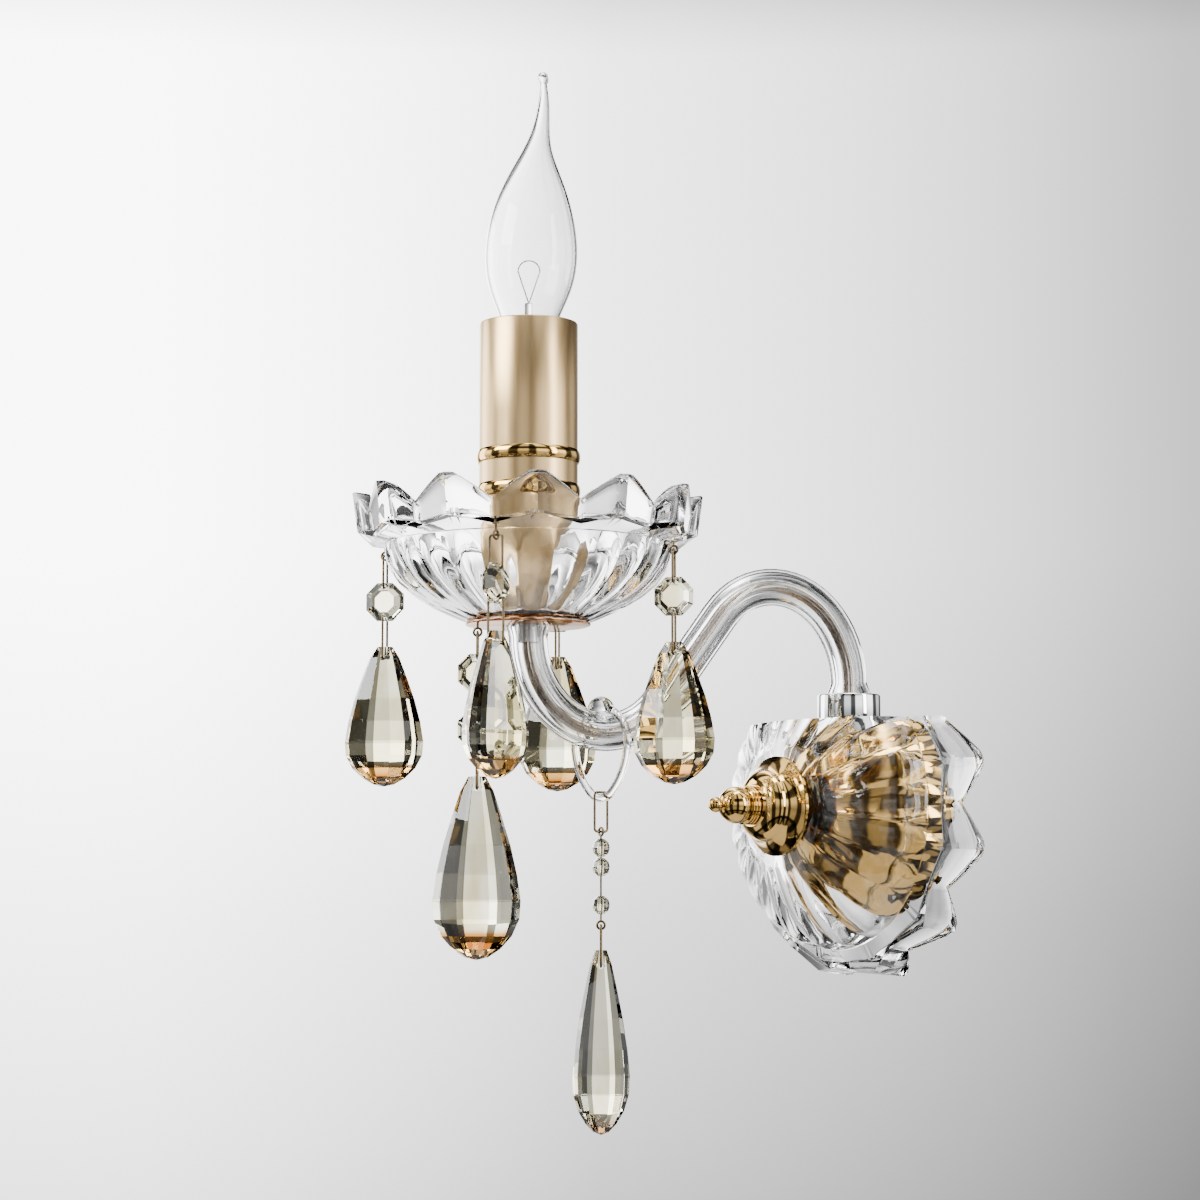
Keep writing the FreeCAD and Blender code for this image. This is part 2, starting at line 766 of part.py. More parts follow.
def bent_tube(label, low, high, radii):
    body = doc.addObject("PartDesign::Body", label)
    path = bent_path(body, label + "_path", low, high)
    section = round_section(body, label + "_section", low, radii)
    doc.recompute()
    pipe = body.newObject("PartDesign::AdditivePipe", label + "_pipe")
    pipe.Profile = section
    pipe.Spine = (path, [f"Edge{number}" for number in range(1, 6)])
    body.Tip = pipe
    return body


def glass_arm():
    body = bent_tube("glass_arm_tube", "arm_start", "disc_bottom", ("arm_radius", "arm_bore"))
    put(body, ("0", "0", "0"), ABOUT_FACE)
    foot = turned("glass_arm_foot", ("0", "-arm_foot", "arm_start"), [
        ("arm_bore", "0"), ("arm_foot_radius", "0"),
        ("arm_foot_radius", "collar_height - collar_floor"),
        ("arm_radius", "arch_level - arm_start"), ("arm_bore", "arch_level - arm_start")])
    head = turned("glass_arm_head", ("0", "-arm_reach", "dip_level"), [
        ("arm_bore", "0"), ("arm_radius", "0"),
        ("arm_head_radius", "disc_bottom - dip_level"), ("arm_bore", "disc_bottom - dip_level")])
    for end in (foot, head):
        pieces.remove(end)
    arm = doc.addObject("Part::MultiFuse", "glass_arm")
    arm.Shapes = [body, foot, head]
    keep(arm, "glass_arm")


def arm_lead():
    """The clear two-core lead: bent off at the bottom towards the terminals."""
    body = bent_tube("arm_lead_upper", "shelf_height - lead_drop", "nipple_end", ("lead_radius",))
    put(body, ("0", "0", "0"), ABOUT_FACE)
    low = value("shelf_height - lead_drop")
    bend = value("lead_bend")
    foot = -value("arm_foot")
    first = FreeCAD.Vector(0, foot, low)
    corner = FreeCAD.Vector(-bend * (1 - math.sqrt(0.5)), foot, low - bend * math.sqrt(0.5))
    second = FreeCAD.Vector(-bend, foot, low - bend)
    last = FreeCAD.Vector(-value("block_offset"), foot, low - bend)
    path = Part.Wire([Part.Arc(first, corner, second).toShape(),
                      Part.LineSegment(second, last).toShape()])
    section = Part.Wire(Part.makeCircle(value("lead_radius"), first, FreeCAD.Vector(0, 0, 1)))
    bottom = doc.addObject("Part::Feature", "arm_lead_lower")
    bottom.Shape = path.makePipeShell([section], True, True)
    lead = doc.addObject("Part::MultiFuse", "arm_lead")
    lead.Shapes = [body, bottom]
    keep(lead, "arm_lead")


def closed_rod(stretches, start, heading, radius):
    """A round rod along a closed wire of lines and arcs."""
    edges = []
    for kind, *ends in stretches:
        edge = Part.Arc(*ends) if kind == "arc" else Part.LineSegment(*ends)
        edges.append(edge.toShape())
    section = Part.Wire(Part.makeCircle(radius, start, heading))
    return Part.Wire(edges).makePipeShell([section], True, True)


def arm_loop():
    """The glass loop that hangs over the arm, with the ball on its saddle."""
    rod = value("loop_rod")
    top = value("dip_height + arm_radius + loop_rod + arm_fit")
    big, small = value("loop_radius"), value("loop_toe_radius")
    big_centre, small_centre = top - big, value("loop_bottom") + small
    lean = math.asin((big - small) / (big_centre - small_centre))
    across, up = math.cos(lean), -math.sin(lean)

    def point(side, radius, centre):
        return FreeCAD.Vector(side * radius * across, 0, centre + radius * up)

    left_high, right_high = point(-1, big, big_centre), point(1, big, big_centre)
    left_low, right_low = point(-1, small, small_centre), point(1, small, small_centre)
    crown = FreeCAD.Vector(0, 0, top)
    toe = FreeCAD.Vector(0, 0, value("loop_bottom"))
    loop = closed_rod([("line", right_low, right_high), ("arc", right_high, crown, left_high),
                       ("line", left_high, left_low), ("arc", left_low, toe, right_low)],
                      right_low, right_high - right_low, rod)
    ball = Part.makeSphere(value("saddle_radius"),
                           FreeCAD.Vector(0, 0, value("dip_height + saddle_rise")))
    clear = value("arm_radius + arm_fit")
    dip = Part.makeTorus(value("dip_radius"), clear, FreeCAD.Vector(0, 0, value("dip_level")),
                         FreeCAD.Vector(1, 0, 0))
    dip.translate(FreeCAD.Vector(0, value("dip_centre - loop_place") * -1, 0))
    shape = loop.fuse(ball).cut(dip)
    largest = max(shape.Solids, key=lambda solid: solid.Volume)
    shaped("arm_loop", largest, FreeCAD.Placement(vector("0", "-loop_place", "0"), UPRIGHT))


# ---- disc, candle cup, sleeve and lampholder ----

def candle_parts():
    axis = ("0", "-arm_reach")
    tube("pin_disc", axis + ("disc_bottom",), "disc_radius", "nipple_radius + nipple_fit",
         "disc_thickness")
    tube("candle_nipple", axis + ("nipple_start",), "nipple_radius", "nipple_bore",
         "nipple_length")
    turned("candle_cup", axis + ("cup_base",), [
        ("nipple_radius + nipple_fit", "0"),
        ("cup_foot_radius", "0"),
        ("cup_mouth_radius", "cup_height"),
        ("cup_mouth_radius - cup_wall", "cup_height"),
        ("cup_foot_radius - cup_wall", "cup_wall"),
        ("nipple_radius + nipple_fit", "cup_wall")])
    hex_nut("cup_nut", axis + ("cup_base + cup_wall",), "cup_nut_across",
            "nipple_radius + nipple_fit", "nut_height")
    tube("candle_sleeve", axis + ("cup_top",), "sleeve_radius", "sleeve_radius - sleeve_wall",
         "sleeve_height")
    for label, level in (("lower_ring", "cup_top"), ("upper_ring", "cup_top + ring_lift")):
        inner = "sleeve_radius + ring_fit"
        turned(label, axis + (level,), [
            (inner, "0"), (inner + " + ring_width / 2", "0"),
            (inner + " + ring_width / 2", "ring_height", "ring_round"),
            (inner, "ring_height")])


def lampholder_parts():
    axis = ("0", "-arm_reach")
    turned("lampholder", axis + ("holder_base",), [
        ("nipple_radius + nipple_fit", "0"),
        ("holder_radius", "0"),
        ("holder_radius", "holder_skirt_height"),
        ("holder_radius - holder_step", "holder_neck_height"),
        ("holder_radius - holder_step", "holder_height"),
        ("chamber_radius", "holder_height"),
        ("chamber_radius", "holder_floor"),
        ("nipple_radius + nipple_fit", "holder_floor")])
    tube("holder_thread_shell", axis + ("holder_base + thread_shell_lift",),
         "thread_shell_radius", "thread_shell_radius - thread_shell_wall",
         "thread_shell_height")
    turned("holder_contact", axis + ("nipple_end",), [
        ("0", "0"), ("contact_radius", "0"), ("contact_radius", "contact_height / 2"),
        ("contact_radius / 2", "contact_height"), ("0", "contact_height")])


# ---- lamp ----

# The lamp's glass from its neck to its bent tip: height and radius as shares of the
# lamp's height and widest radius, and the lean as a share of the tip's shift.
FLAME = ((0, 0.39, 0), (0.085, 0.47, 0.02), (0.169, 0.66, 0.05), (0.258, 0.91, 0.1),
         (0.357, 1, 0.14), (0.455, 0.94, 0.17), (0.562, 0.77, 0.25), (0.664, 0.48, 0.38),
         (0.732, 0.27, 0.54), (0.8, 0.17, 0.8), (0.868, 0.137, 0.96), (0.936, 0.1, 1),
         (0.98, 0.085, 0.92), (1, 0.045, 0.9))


def flame_loft(shrink, stations):
    """A loft through level circles, leaning towards the lamp's bent tip."""
    toward = math.radians(90 + value("strand_turn"))
    circles = []
    for height, radius, lean in stations:
        shift = lean * value("lamp_tip_shift")
        centre = FreeCAD.Vector(shift * math.cos(toward), shift * math.sin(toward),
                                height * value("lamp_height"))
        circles.append(Part.Wire(Part.makeCircle(radius * value("lamp_radius") - shrink, centre)))
    return Part.makeLoft(circles, True, False)


def lamp():
    axis = ("0", "-arm_reach")
    place = FreeCAD.Placement(vector("0", "-arm_reach", "lamp_base"), UPRIGHT)
    hollow = flame_loft(value("lamp_wall"), FLAME[:-2])
    shaped("lamp_glass", flame_loft(0, FLAME).cut(hollow), place)
    turned("lamp_cap", axis + ("lamp_cap_base",), [
        ("0", "0"), ("lamp_cap_radius - lamp_cap_taper", "0"), ("lamp_cap_radius", "lamp_cap_toe"),
        ("lamp_cap_radius", "lamp_cap_height"), ("0", "lamp_cap_height")])
    turned("lamp_tip_contact", axis + ("tip_base",), [
        ("0", "0"), ("tip_radius * 0.6", "0"), ("tip_radius", "tip_height"), ("0", "tip_height")])
    turned("lamp_stem", axis + ("lamp_base",), [
        ("0", "0"), ("stem_radius", "0"), ("stem_pinch_radius", "stem_pinch_height"),
        ("stem_pinch_radius", "stem_height"), ("0", "stem_height")])
    wire = value("filament_wire") / 2
    span = value("filament_span") / 2
    base = value("stem_height")
    top = base + value("filament_height")
    foot = FreeCAD.Vector(0, 0, base)
    edges = [Part.LineSegment(FreeCAD.Vector(-span, 0, top), foot).toShape(),
             Part.LineSegment(foot, FreeCAD.Vector(span, 0, top)).toShape(),
             Part.Arc(FreeCAD.Vector(span, 0, top), FreeCAD.Vector(0, 0, top + span),
                      FreeCAD.Vector(-span, 0, top)).toShape()]
    rods = []
    for edge in edges:
        heading = edge.tangentAt(edge.FirstParameter)
        start = edge.valueAt(edge.FirstParameter)
        section = Part.Wire(Part.makeCircle(wire, start, heading))
        rods.append(Part.Wire([edge]).makePipeShell([section], True, True))
    knots = [Part.makeSphere(wire * 1.3, point) for point in
             (foot, FreeCAD.Vector(-span, 0, top), FreeCAD.Vector(span, 0, top))]
    frame = rods[0].multiFuse(rods[1:] + knots)
    below = Part.makeBox(2 * span, 2 * span, base, FreeCAD.Vector(-span, -span, 0))
    frame = frame.cut(below)
    turn = FreeCAD.Rotation(FreeCAD.Vector(0, 0, 1), 90 + value("strand_turn"))
    shaped("lamp_filament", frame, FreeCAD.Placement(place.Base, turn))


# ---- wire links, hooks and cut crystals ----
# Each strand is drawn in its own frame: x across, y out of its stones' faces, z up.

def wire_link(top, height, width):
    """A closed link with square corners rounded, in the y-z plane."""
    half = width / 2
    corner = value("wire_corner")
    bottom = top - height
    diagonal = corner * (1 - math.sqrt(0.5))

    def at(y, z):
        return FreeCAD.Vector(0, y, z)

    path = [
        ("line", at(-half + corner, top), at(half - corner, top)),
        ("arc", at(half - corner, top), at(half - diagonal, top - diagonal),
         at(half, top - corner)),
        ("line", at(half, top - corner), at(half, bottom + corner)),
        ("arc", at(half, bottom + corner), at(half - diagonal, bottom + diagonal),
         at(half - corner, bottom)),
        ("line", at(half - corner, bottom), at(-half + corner, bottom)),
        ("arc", at(-half + corner, bottom), at(-half + diagonal, bottom + diagonal),
         at(-half, bottom + corner)),
        ("line", at(-half, bottom + corner), at(-half, top - corner)),
        ("arc", at(-half, top - corner), at(-half + diagonal, top - diagonal),
         at(-half + corner, top)),
    ]
    return closed_rod(path, at(-half + corner, top), FreeCAD.Vector(0, 1, 0),
                      value("wire_diameter") / 2)


def eye(level, facing=FreeCAD.Vector(0, 1, 0)):
    """A round wire eye."""
    return Part.makeTorus(value("eye_radius"), value("wire_diameter") / 2,
                          FreeCAD.Vector(0, 0, level), facing)


def gem(rings):
    """A cut stone from rings of points, from its back table to its front table."""
    faces = [face_of(rings[0][::-1]), face_of(rings[-1])]
    for lower, upper in zip(rings, rings[1:]):
        faces += band(lower, upper, flat=False)
    return solid_of(faces)


def pierced(stone, level):
    """The stone with a hole through it, front to back."""
    reach = value("octagon_across") * 2
    hole = Part.makeCylinder(value("gem_hole") / 2, 2 * reach,
                             FreeCAD.Vector(0, -reach, level), FreeCAD.Vector(0, 1, 0))
    return stone.cut(hole)


def octagon(top):
    """A flat eight-sided stone, pierced at the top and the bottom."""
    across = value("octagon_across") / 2
    table = value("octagon_table") / 2
    half = value("octagon_thickness") / 2
    girdle = value("gem_girdle") / 2
    levels = ((-half, table), (-girdle, across), (girdle, across), (half, table))
    rings = []
    for y, radius in levels:
        reach = radius / math.cos(math.pi / 8)
        rings.append([FreeCAD.Vector(reach * math.sin(math.pi * (2 * side + 1) / 8), y,
                                     top - across + reach * math.cos(math.pi * (2 * side + 1) / 8))
                      for side in range(8)])
    inset = value("octagon_inset")
    stone = pierced(gem(rings), top - inset)
    return pierced(stone, top - 2 * across + inset)


def drop_outline(length, width, scale, half_step):
    """Points of a pear-shaped outline about its widest height."""
    taper = value("drop_taper_ratio")
    count = int(value("drop_facet_count"))
    peak = max(math.sin(a / 100) * math.sin(a / 200) ** taper for a in range(1, 314))
    middle = -value("drop_widest_ratio") * length
    outline_points = []
    for step in range(count):
        angle = 2 * math.pi * (step + (0.5 if half_step else 0)) / count
        side = math.sin(angle) * abs(math.sin(angle / 2)) ** taper / peak
        z = -length * (1 - math.cos(angle)) / 2
        outline_points.append((scale * side * width / 2, middle + scale * (z - middle)))
    return outline_points


def drop(top, length, width, thickness, inset):
    """A faceted pear drop with a flat table on each face."""
    half = thickness / 2
    girdle = value("gem_girdle") / 2
    crown, crown_rise_ratio = value("crown_ratio"), value("crown_rise_ratio")
    table = value("table_ratio")
    front = ((girdle, 1.0, False), (half * crown_rise_ratio, crown, True), (half, table, False))
    layers = [(-y, scale, step) for y, scale, step in front[::-1]] + list(front)
    rings = []
    for y, scale, step in layers:
        rings.append([FreeCAD.Vector(x, y, top + z)
                      for x, z in drop_outline(length, width, scale, step)])
    return pierced(gem(rings), top - inset)


def strand_place(x, y, facing):
    """The place of a strand whose stones face along an angle from +x."""
    return FreeCAD.Placement(FreeCAD.Vector(x, y, 0),
                             FreeCAD.Rotation(FreeCAD.Vector(0, 0, 1), facing - 90))


# Where each strand hangs round the bowl, and which way its stones face.
strand_angles = {"front_right": -45, "front_left": -135, "rear_right": 45, "rear_left": 135}
strand_facings = {"front_right": 20, "front_left": -45, "rear_right": -45, "rear_left": 135}


def bowl_strands():
    """Four strands that hang from eyes in the bowl's ledge."""
    base = value("bowl_base")
    radius = value("strand_radius")
    under, upper = ledge_levels(radius)
    wire = value("wire_diameter") / 2
    eye_level = base + value("ledge_height - hook_drop")
    inset = value("octagon_inset")
    octagon_top = eye_level - value("bowl_link_height") + inset
    low_hole = octagon_top - value("octagon_across") + inset
    drop_hole = low_hole - value("bowl_drop_link_height")
    shank_foot = eye_level + value("eye_radius") - wire / 2
    hooks = []
    for name, angle in strand_angles.items():
        turn = math.radians(angle)
        x = radius * math.cos(turn)
        y = radius * math.sin(turn) - value("arm_reach")
        place = strand_place(x, y, strand_facings[name])
        head_level = base + upper + value("hook_head_lift")
        shank = Part.makeCylinder(wire, head_level + wire / 2 - shank_foot,
                                  FreeCAD.Vector(0, 0, shank_foot))
        head = Part.makeCylinder(value("hook_radius"), wire, FreeCAD.Vector(0, 0, head_level))
        hook = eye(eye_level).multiFuse([shank, head])
        hook.Placement = place
        hooks.append(hook)
        links = [wire_link(eye_level, value("bowl_link_height"), value("octagon_link")),
                 wire_link(low_hole, value("bowl_drop_link_height"), value("drop_link"))]
        shaped("links_" + name, Part.makeCompound(links), place)
        shaped("octagon_" + name, octagon(octagon_top), place)
        stone = drop(drop_hole + value("drop_inset"), value("bowl_drop_length"),
                     value("bowl_drop_width"), value("bowl_drop_thickness"),
                     value("drop_inset"))
        shaped("drop_" + name, stone, place)
    shaped("bowl_hooks", Part.makeCompound(hooks))


def front_strand():
    """Two octagons and the largest drop, under the disc."""
    inset = value("octagon_inset")
    across = value("octagon_across")
    wire = value("wire_diameter") / 2
    disc = value("disc_bottom")
    eye_level = disc - value("front_eye_drop")
    place = strand_place(0, -value("arm_reach") - value("front_offset"), value("strand_turn"))
    shank = Part.makeCylinder(wire, disc - eye_level - value("eye_radius") + wire / 2,
                              FreeCAD.Vector(0, 0, eye_level + value("eye_radius") - wire / 2))
    hook = eye(eye_level).fuse(shank)
    shaped("disc_hook", hook, place)
    links = []
    level = eye_level
    tops = []
    for height in (value("front_link_height"), value("front_link_height")):
        links.append(wire_link(level, height, value("octagon_link")))
        tops.append(level - height + inset)
        level = tops[-1] - across + inset
    links.append(wire_link(level, value("front_drop_link_height"), value("drop_link")))
    level -= value("front_drop_link_height")
    shaped("links_front", Part.makeCompound(links), place)
    shaped("octagon_front_upper", octagon(tops[0]), place)
    shaped("octagon_front_lower", octagon(tops[1]), place)
    stone = drop(level + value("drop_inset"), value("front_drop_length"),
                 value("front_drop_width"), value("front_drop_thickness"), value("drop_inset"))
    shaped("drop_front", stone, place)


# A cut bead's rings: height and radius as shares of its radius.
BEAD_RINGS = ((-1, 0.35), (-0.6, 0.85), (0, 1), (0.6, 0.85), (1, 0.35))


def bead(level):
    """A small cut bead with an upright hole."""
    radius = value("bead_size") / 2
    rings = []
    for share, scale in BEAD_RINGS:
        rings.append([FreeCAD.Vector(radius * scale * math.cos(math.pi * side / 4),
                                     radius * scale * math.sin(math.pi * side / 4),
                                     level + share * radius) for side in range(8)])
    hole = Part.makeCylinder(value("bead_hole") / 2, 4 * radius,
                             FreeCAD.Vector(0, 0, level - 2 * radius))
    return gem(rings).cut(hole)


def arm_strand():
    """A clip, a short bead chain and a slender drop, under the arm's glass loop."""
    wire = value("wire_diameter") / 2
    middle = FreeCAD.Vector(0, -value("loop_place"), 0)
    top = value("loop_bottom + loop_rod + wire_play") + wire
    clip = wire_link(top, value("clip_height"), value("octagon_link"))
    high = top - value("clip_height")
    low = high - value("chain_length")
    reach = value("eye_radius") - wire / 2
    spine = Part.makeCylinder(value("bead_wire_diameter") / 2, high - low - 2 * reach,
                              FreeCAD.Vector(0, 0, low + reach))
    turn = value("strand_turn") - 90
    lower_facing = FreeCAD.Vector(-math.sin(math.radians(turn)), math.cos(math.radians(turn)), 0)
    wire_shape = eye(high).multiFuse([spine, eye(low, lower_facing)])
    shaped("arm_clip", clip, FreeCAD.Placement(middle, UPRIGHT))
    shaped("bead_wire", wire_shape, FreeCAD.Placement(middle, UPRIGHT))
    beads = [bead(high - value(name)) for name in ("bead_first", "bead_second", "bead_last")]
    shaped("beads", Part.makeCompound(beads), FreeCAD.Placement(middle, UPRIGHT))
    place = strand_place(0, -value("loop_place"), value("strand_turn"))
    shaped("arm_drop_link", wire_link(low, value("arm_link_height"), value("drop_link")), place)
    stone = drop(low - value("arm_link_height") + value("arm_drop_inset"),
                 value("arm_drop_length"), value("arm_drop_width"),
                 value("arm_drop_thickness"), value("arm_drop_inset"))
    shaped("drop_arm", stone, place)


wall_hardware()
canopy_shell()
wall_dish()
candle_bowl()
cap_and_finial()
arm_collar()
glass_arm()
arm_lead()
arm_loop()
candle_parts()
lampholder_parts()
lamp()
bowl_strands()
front_strand()
arm_strand()

doc.recompute()

faults = []
for thing in doc.Objects:
    if "Invalid" in thing.State or "Error" in thing.State:
        faults.append(f"{thing.Name}: {thing.State}")
for piece in pieces:
    if piece.Shape.isNull() or not piece.Shape.isValid():
        faults.append(f"{piece.Label}: shape is null or not valid")
if faults:
    raise RuntimeError("; ".join(faults))

os.makedirs("parts", exist_ok=True)
for piece in pieces:
    piece.Shape.exportStep(f"parts/{piece.Label}.step")
    box = piece.Shape.BoundBox
    print(f"{piece.Label:22s} solids {len(piece.Shape.Solids)} volume {piece.Shape.Volume:10.1f}"
          f" z {box.ZMin:7.1f} {box.ZMax:7.1f} y {box.YMin:7.1f} {box.YMax:7.1f}")
print(len(pieces), "parts")
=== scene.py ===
import json
import math
import bpy
from mathutils import Matrix, Vector


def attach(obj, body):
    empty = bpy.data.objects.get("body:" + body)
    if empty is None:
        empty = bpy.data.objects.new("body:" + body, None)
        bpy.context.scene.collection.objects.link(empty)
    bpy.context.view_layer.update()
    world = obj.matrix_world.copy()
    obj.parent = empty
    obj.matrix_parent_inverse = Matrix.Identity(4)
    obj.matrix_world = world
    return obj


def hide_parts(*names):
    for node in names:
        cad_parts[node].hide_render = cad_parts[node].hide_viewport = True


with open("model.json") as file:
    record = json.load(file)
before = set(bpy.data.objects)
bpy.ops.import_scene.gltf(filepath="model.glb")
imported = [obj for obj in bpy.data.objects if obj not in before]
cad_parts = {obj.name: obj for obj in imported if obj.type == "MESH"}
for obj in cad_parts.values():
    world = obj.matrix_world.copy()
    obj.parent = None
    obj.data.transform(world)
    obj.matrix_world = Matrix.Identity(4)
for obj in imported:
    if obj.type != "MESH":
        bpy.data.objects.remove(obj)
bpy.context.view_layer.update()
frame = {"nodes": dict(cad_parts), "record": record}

mm = 0.001
up = Vector((0, 0, 1))
right = Vector((1, 0, 0))
strands = {"front_right": (-45, 20), "front_left": (-135, -45), "rear_right": (45, -45),
           "rear_left": (135, 135)}  # place round the bowl, and the way the stones face
print("packed model loaded:", len(frame["nodes"]), "nodes")


def spot(across, out, height):
    return Vector((across, -out, height)) * mm  # out is the distance from the wall


# small hands-on helpers: sizes in millimetres, places as vectors that spot gives

def startPiece():
    if bpy.context.object and bpy.context.object.mode != "OBJECT":
        bpy.ops.object.mode_set(mode="OBJECT")
    bpy.ops.object.select_all(action="DESELECT")


def editAll():
    bpy.ops.object.mode_set(mode="EDIT")
    bpy.ops.mesh.select_mode(type="VERT")
    bpy.ops.mesh.select_all(action="SELECT")


def pickVertices(test):
    bpy.ops.mesh.select_mode(type="VERT")
    bpy.ops.mesh.select_all(action="DESELECT")
    bpy.ops.object.mode_set(mode="OBJECT")
    for vertex in bpy.context.object.data.vertices:
        vertex.select = test(vertex)
    bpy.ops.object.mode_set(mode="EDIT")


def mergeSeams(limit=0.01):
    editAll()
    bpy.ops.mesh.remove_doubles(threshold=limit * mm)
    bpy.ops.mesh.normals_make_consistent(inside=False)
    bpy.ops.object.mode_set(mode="OBJECT")


def fillEnds():
    editAll()
    bpy.ops.mesh.fill_holes(sides=0)
    bpy.ops.mesh.normals_make_consistent(inside=False)
    bpy.ops.object.mode_set(mode="OBJECT")


def shapeWith(kind, **settings):
    modifier = bpy.context.object.modifiers.new(kind.title(), kind)
    for key, setting in settings.items():
        setattr(modifier, key, setting)
    bpy.ops.object.modifier_apply(modifier=modifier.name)


def roundEdges(width, segments=2, angle=35):
    shapeWith("BEVEL", width=width * mm, segments=segments, limit_method="ANGLE",
              angle_limit=math.radians(angle), use_clamp_overlap=True)


def settle(location=None, turn=(0, 0, 0)):
    piece = bpy.context.object
    piece.rotation_euler = [math.radians(degrees) for degrees in turn]
    if location is not None:
        piece.location = location
    bpy.ops.object.transform_apply(location=True, rotation=True, scale=True)


def finishPiece(name, finish, nodes=(), body="root", smooth=35):
    piece = bpy.context.object
    bpy.ops.object.transform_apply(location=True, rotation=True, scale=True)
    bpy.ops.object.shade_smooth_by_angle(angle=math.radians(smooth))
    piece.name = name
    piece.data.name = name
    piece.data.materials.clear()
    piece.data.materials.append(finish)
    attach(piece, body)
    if nodes:
        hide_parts(*nodes)
    return piece


def turnPiece(profile, base, facing=(0, 0, 0), steps=72):
    # one corner is drawn along the profile (radius, height) and spun round
    startPiece()
    bpy.ops.mesh.primitive_plane_add(size=mm)
    editAll()
    bpy.ops.mesh.merge(type="CENTER")
    bpy.ops.mesh.select_all(action="SELECT")
    bpy.ops.transform.translate(value=Vector((profile[0][0], 0, profile[0][1])) * mm)
    for near, far in zip(profile, profile[1:]):
        step = Vector((far[0] - near[0], 0, far[1] - near[1])) * mm
        bpy.ops.mesh.extrude_region_move(TRANSFORM_OT_translate={"value": step})
    bpy.ops.mesh.select_all(action="SELECT")
    bpy.ops.mesh.spin(steps=steps, angle=math.tau, center=(0, 0, 0), axis=(0, 0, 1))
    mergeSeams()
    settle(base, facing)


def arcPoints(centre, radius, first, last, count):
    # points of a round stretch of a profile, ends included
    points = []
    for step in range(count + 1):
        angle = math.radians(first + (last - first) * step / count)
        points.append((centre[0] + radius * math.cos(angle), centre[1] + radius * math.sin(angle)))
    return points


def drawTube(radius, start, heading, moves, sides=16):
    # a ring is pushed straight, turned round bends, or grown, as a glass tube is bent
    startPiece()
    heading = heading.normalized()
    bpy.ops.mesh.primitive_circle_add(vertices=sides, radius=radius * mm, location=start,
                                      rotation=heading.to_track_quat("Z", "Y").to_euler())
    bpy.ops.object.transform_apply(location=True, rotation=True, scale=True)
    editAll()
    at = start.copy()
    for move in moves:
        if move[0] == "go":
            step = heading * move[1] * mm
            bpy.ops.mesh.extrude_region_move(TRANSFORM_OT_translate={"value": step})
            at = at + step
        elif move[0] == "grow":
            bpy.ops.transform.resize(value=(move[1], move[1], move[1]), center_override=at)
        else:
            bend, degrees, axis = move[1:]
            centre = at + axis.cross(heading) * bend * mm
            angle = math.radians(degrees)
            bpy.ops.mesh.spin(steps=max(3, round(degrees / 6)), angle=-angle, center=centre,
                              axis=axis)
            turn = Matrix.Rotation(angle, 3, axis)
            at = centre + turn @ (at - centre)
            heading = turn @ heading
    bpy.ops.object.mode_set(mode="OBJECT")


def joinPieces(pieces):
    startPiece()
    for piece in pieces:
        piece.select_set(True)
    bpy.context.view_layer.objects.active = pieces[0]
    bpy.ops.object.join()


def copyOf(piece, turn=0, place=Vector((0, 0, 0))):
    startPiece()
    piece.select_set(True)
    bpy.context.view_layer.objects.active = piece
    bpy.ops.object.duplicate(linked=False)
    twin = bpy.context.object
    twin.data.transform(Matrix.Translation(place) @ Matrix.Rotation(math.radians(turn), 4, "Z"))
    return twin


def toss(piece):
    startPiece()
    piece.select_set(True)
    bpy.ops.object.delete()


# finishes: each reads Object coordinates for its tone and gloss

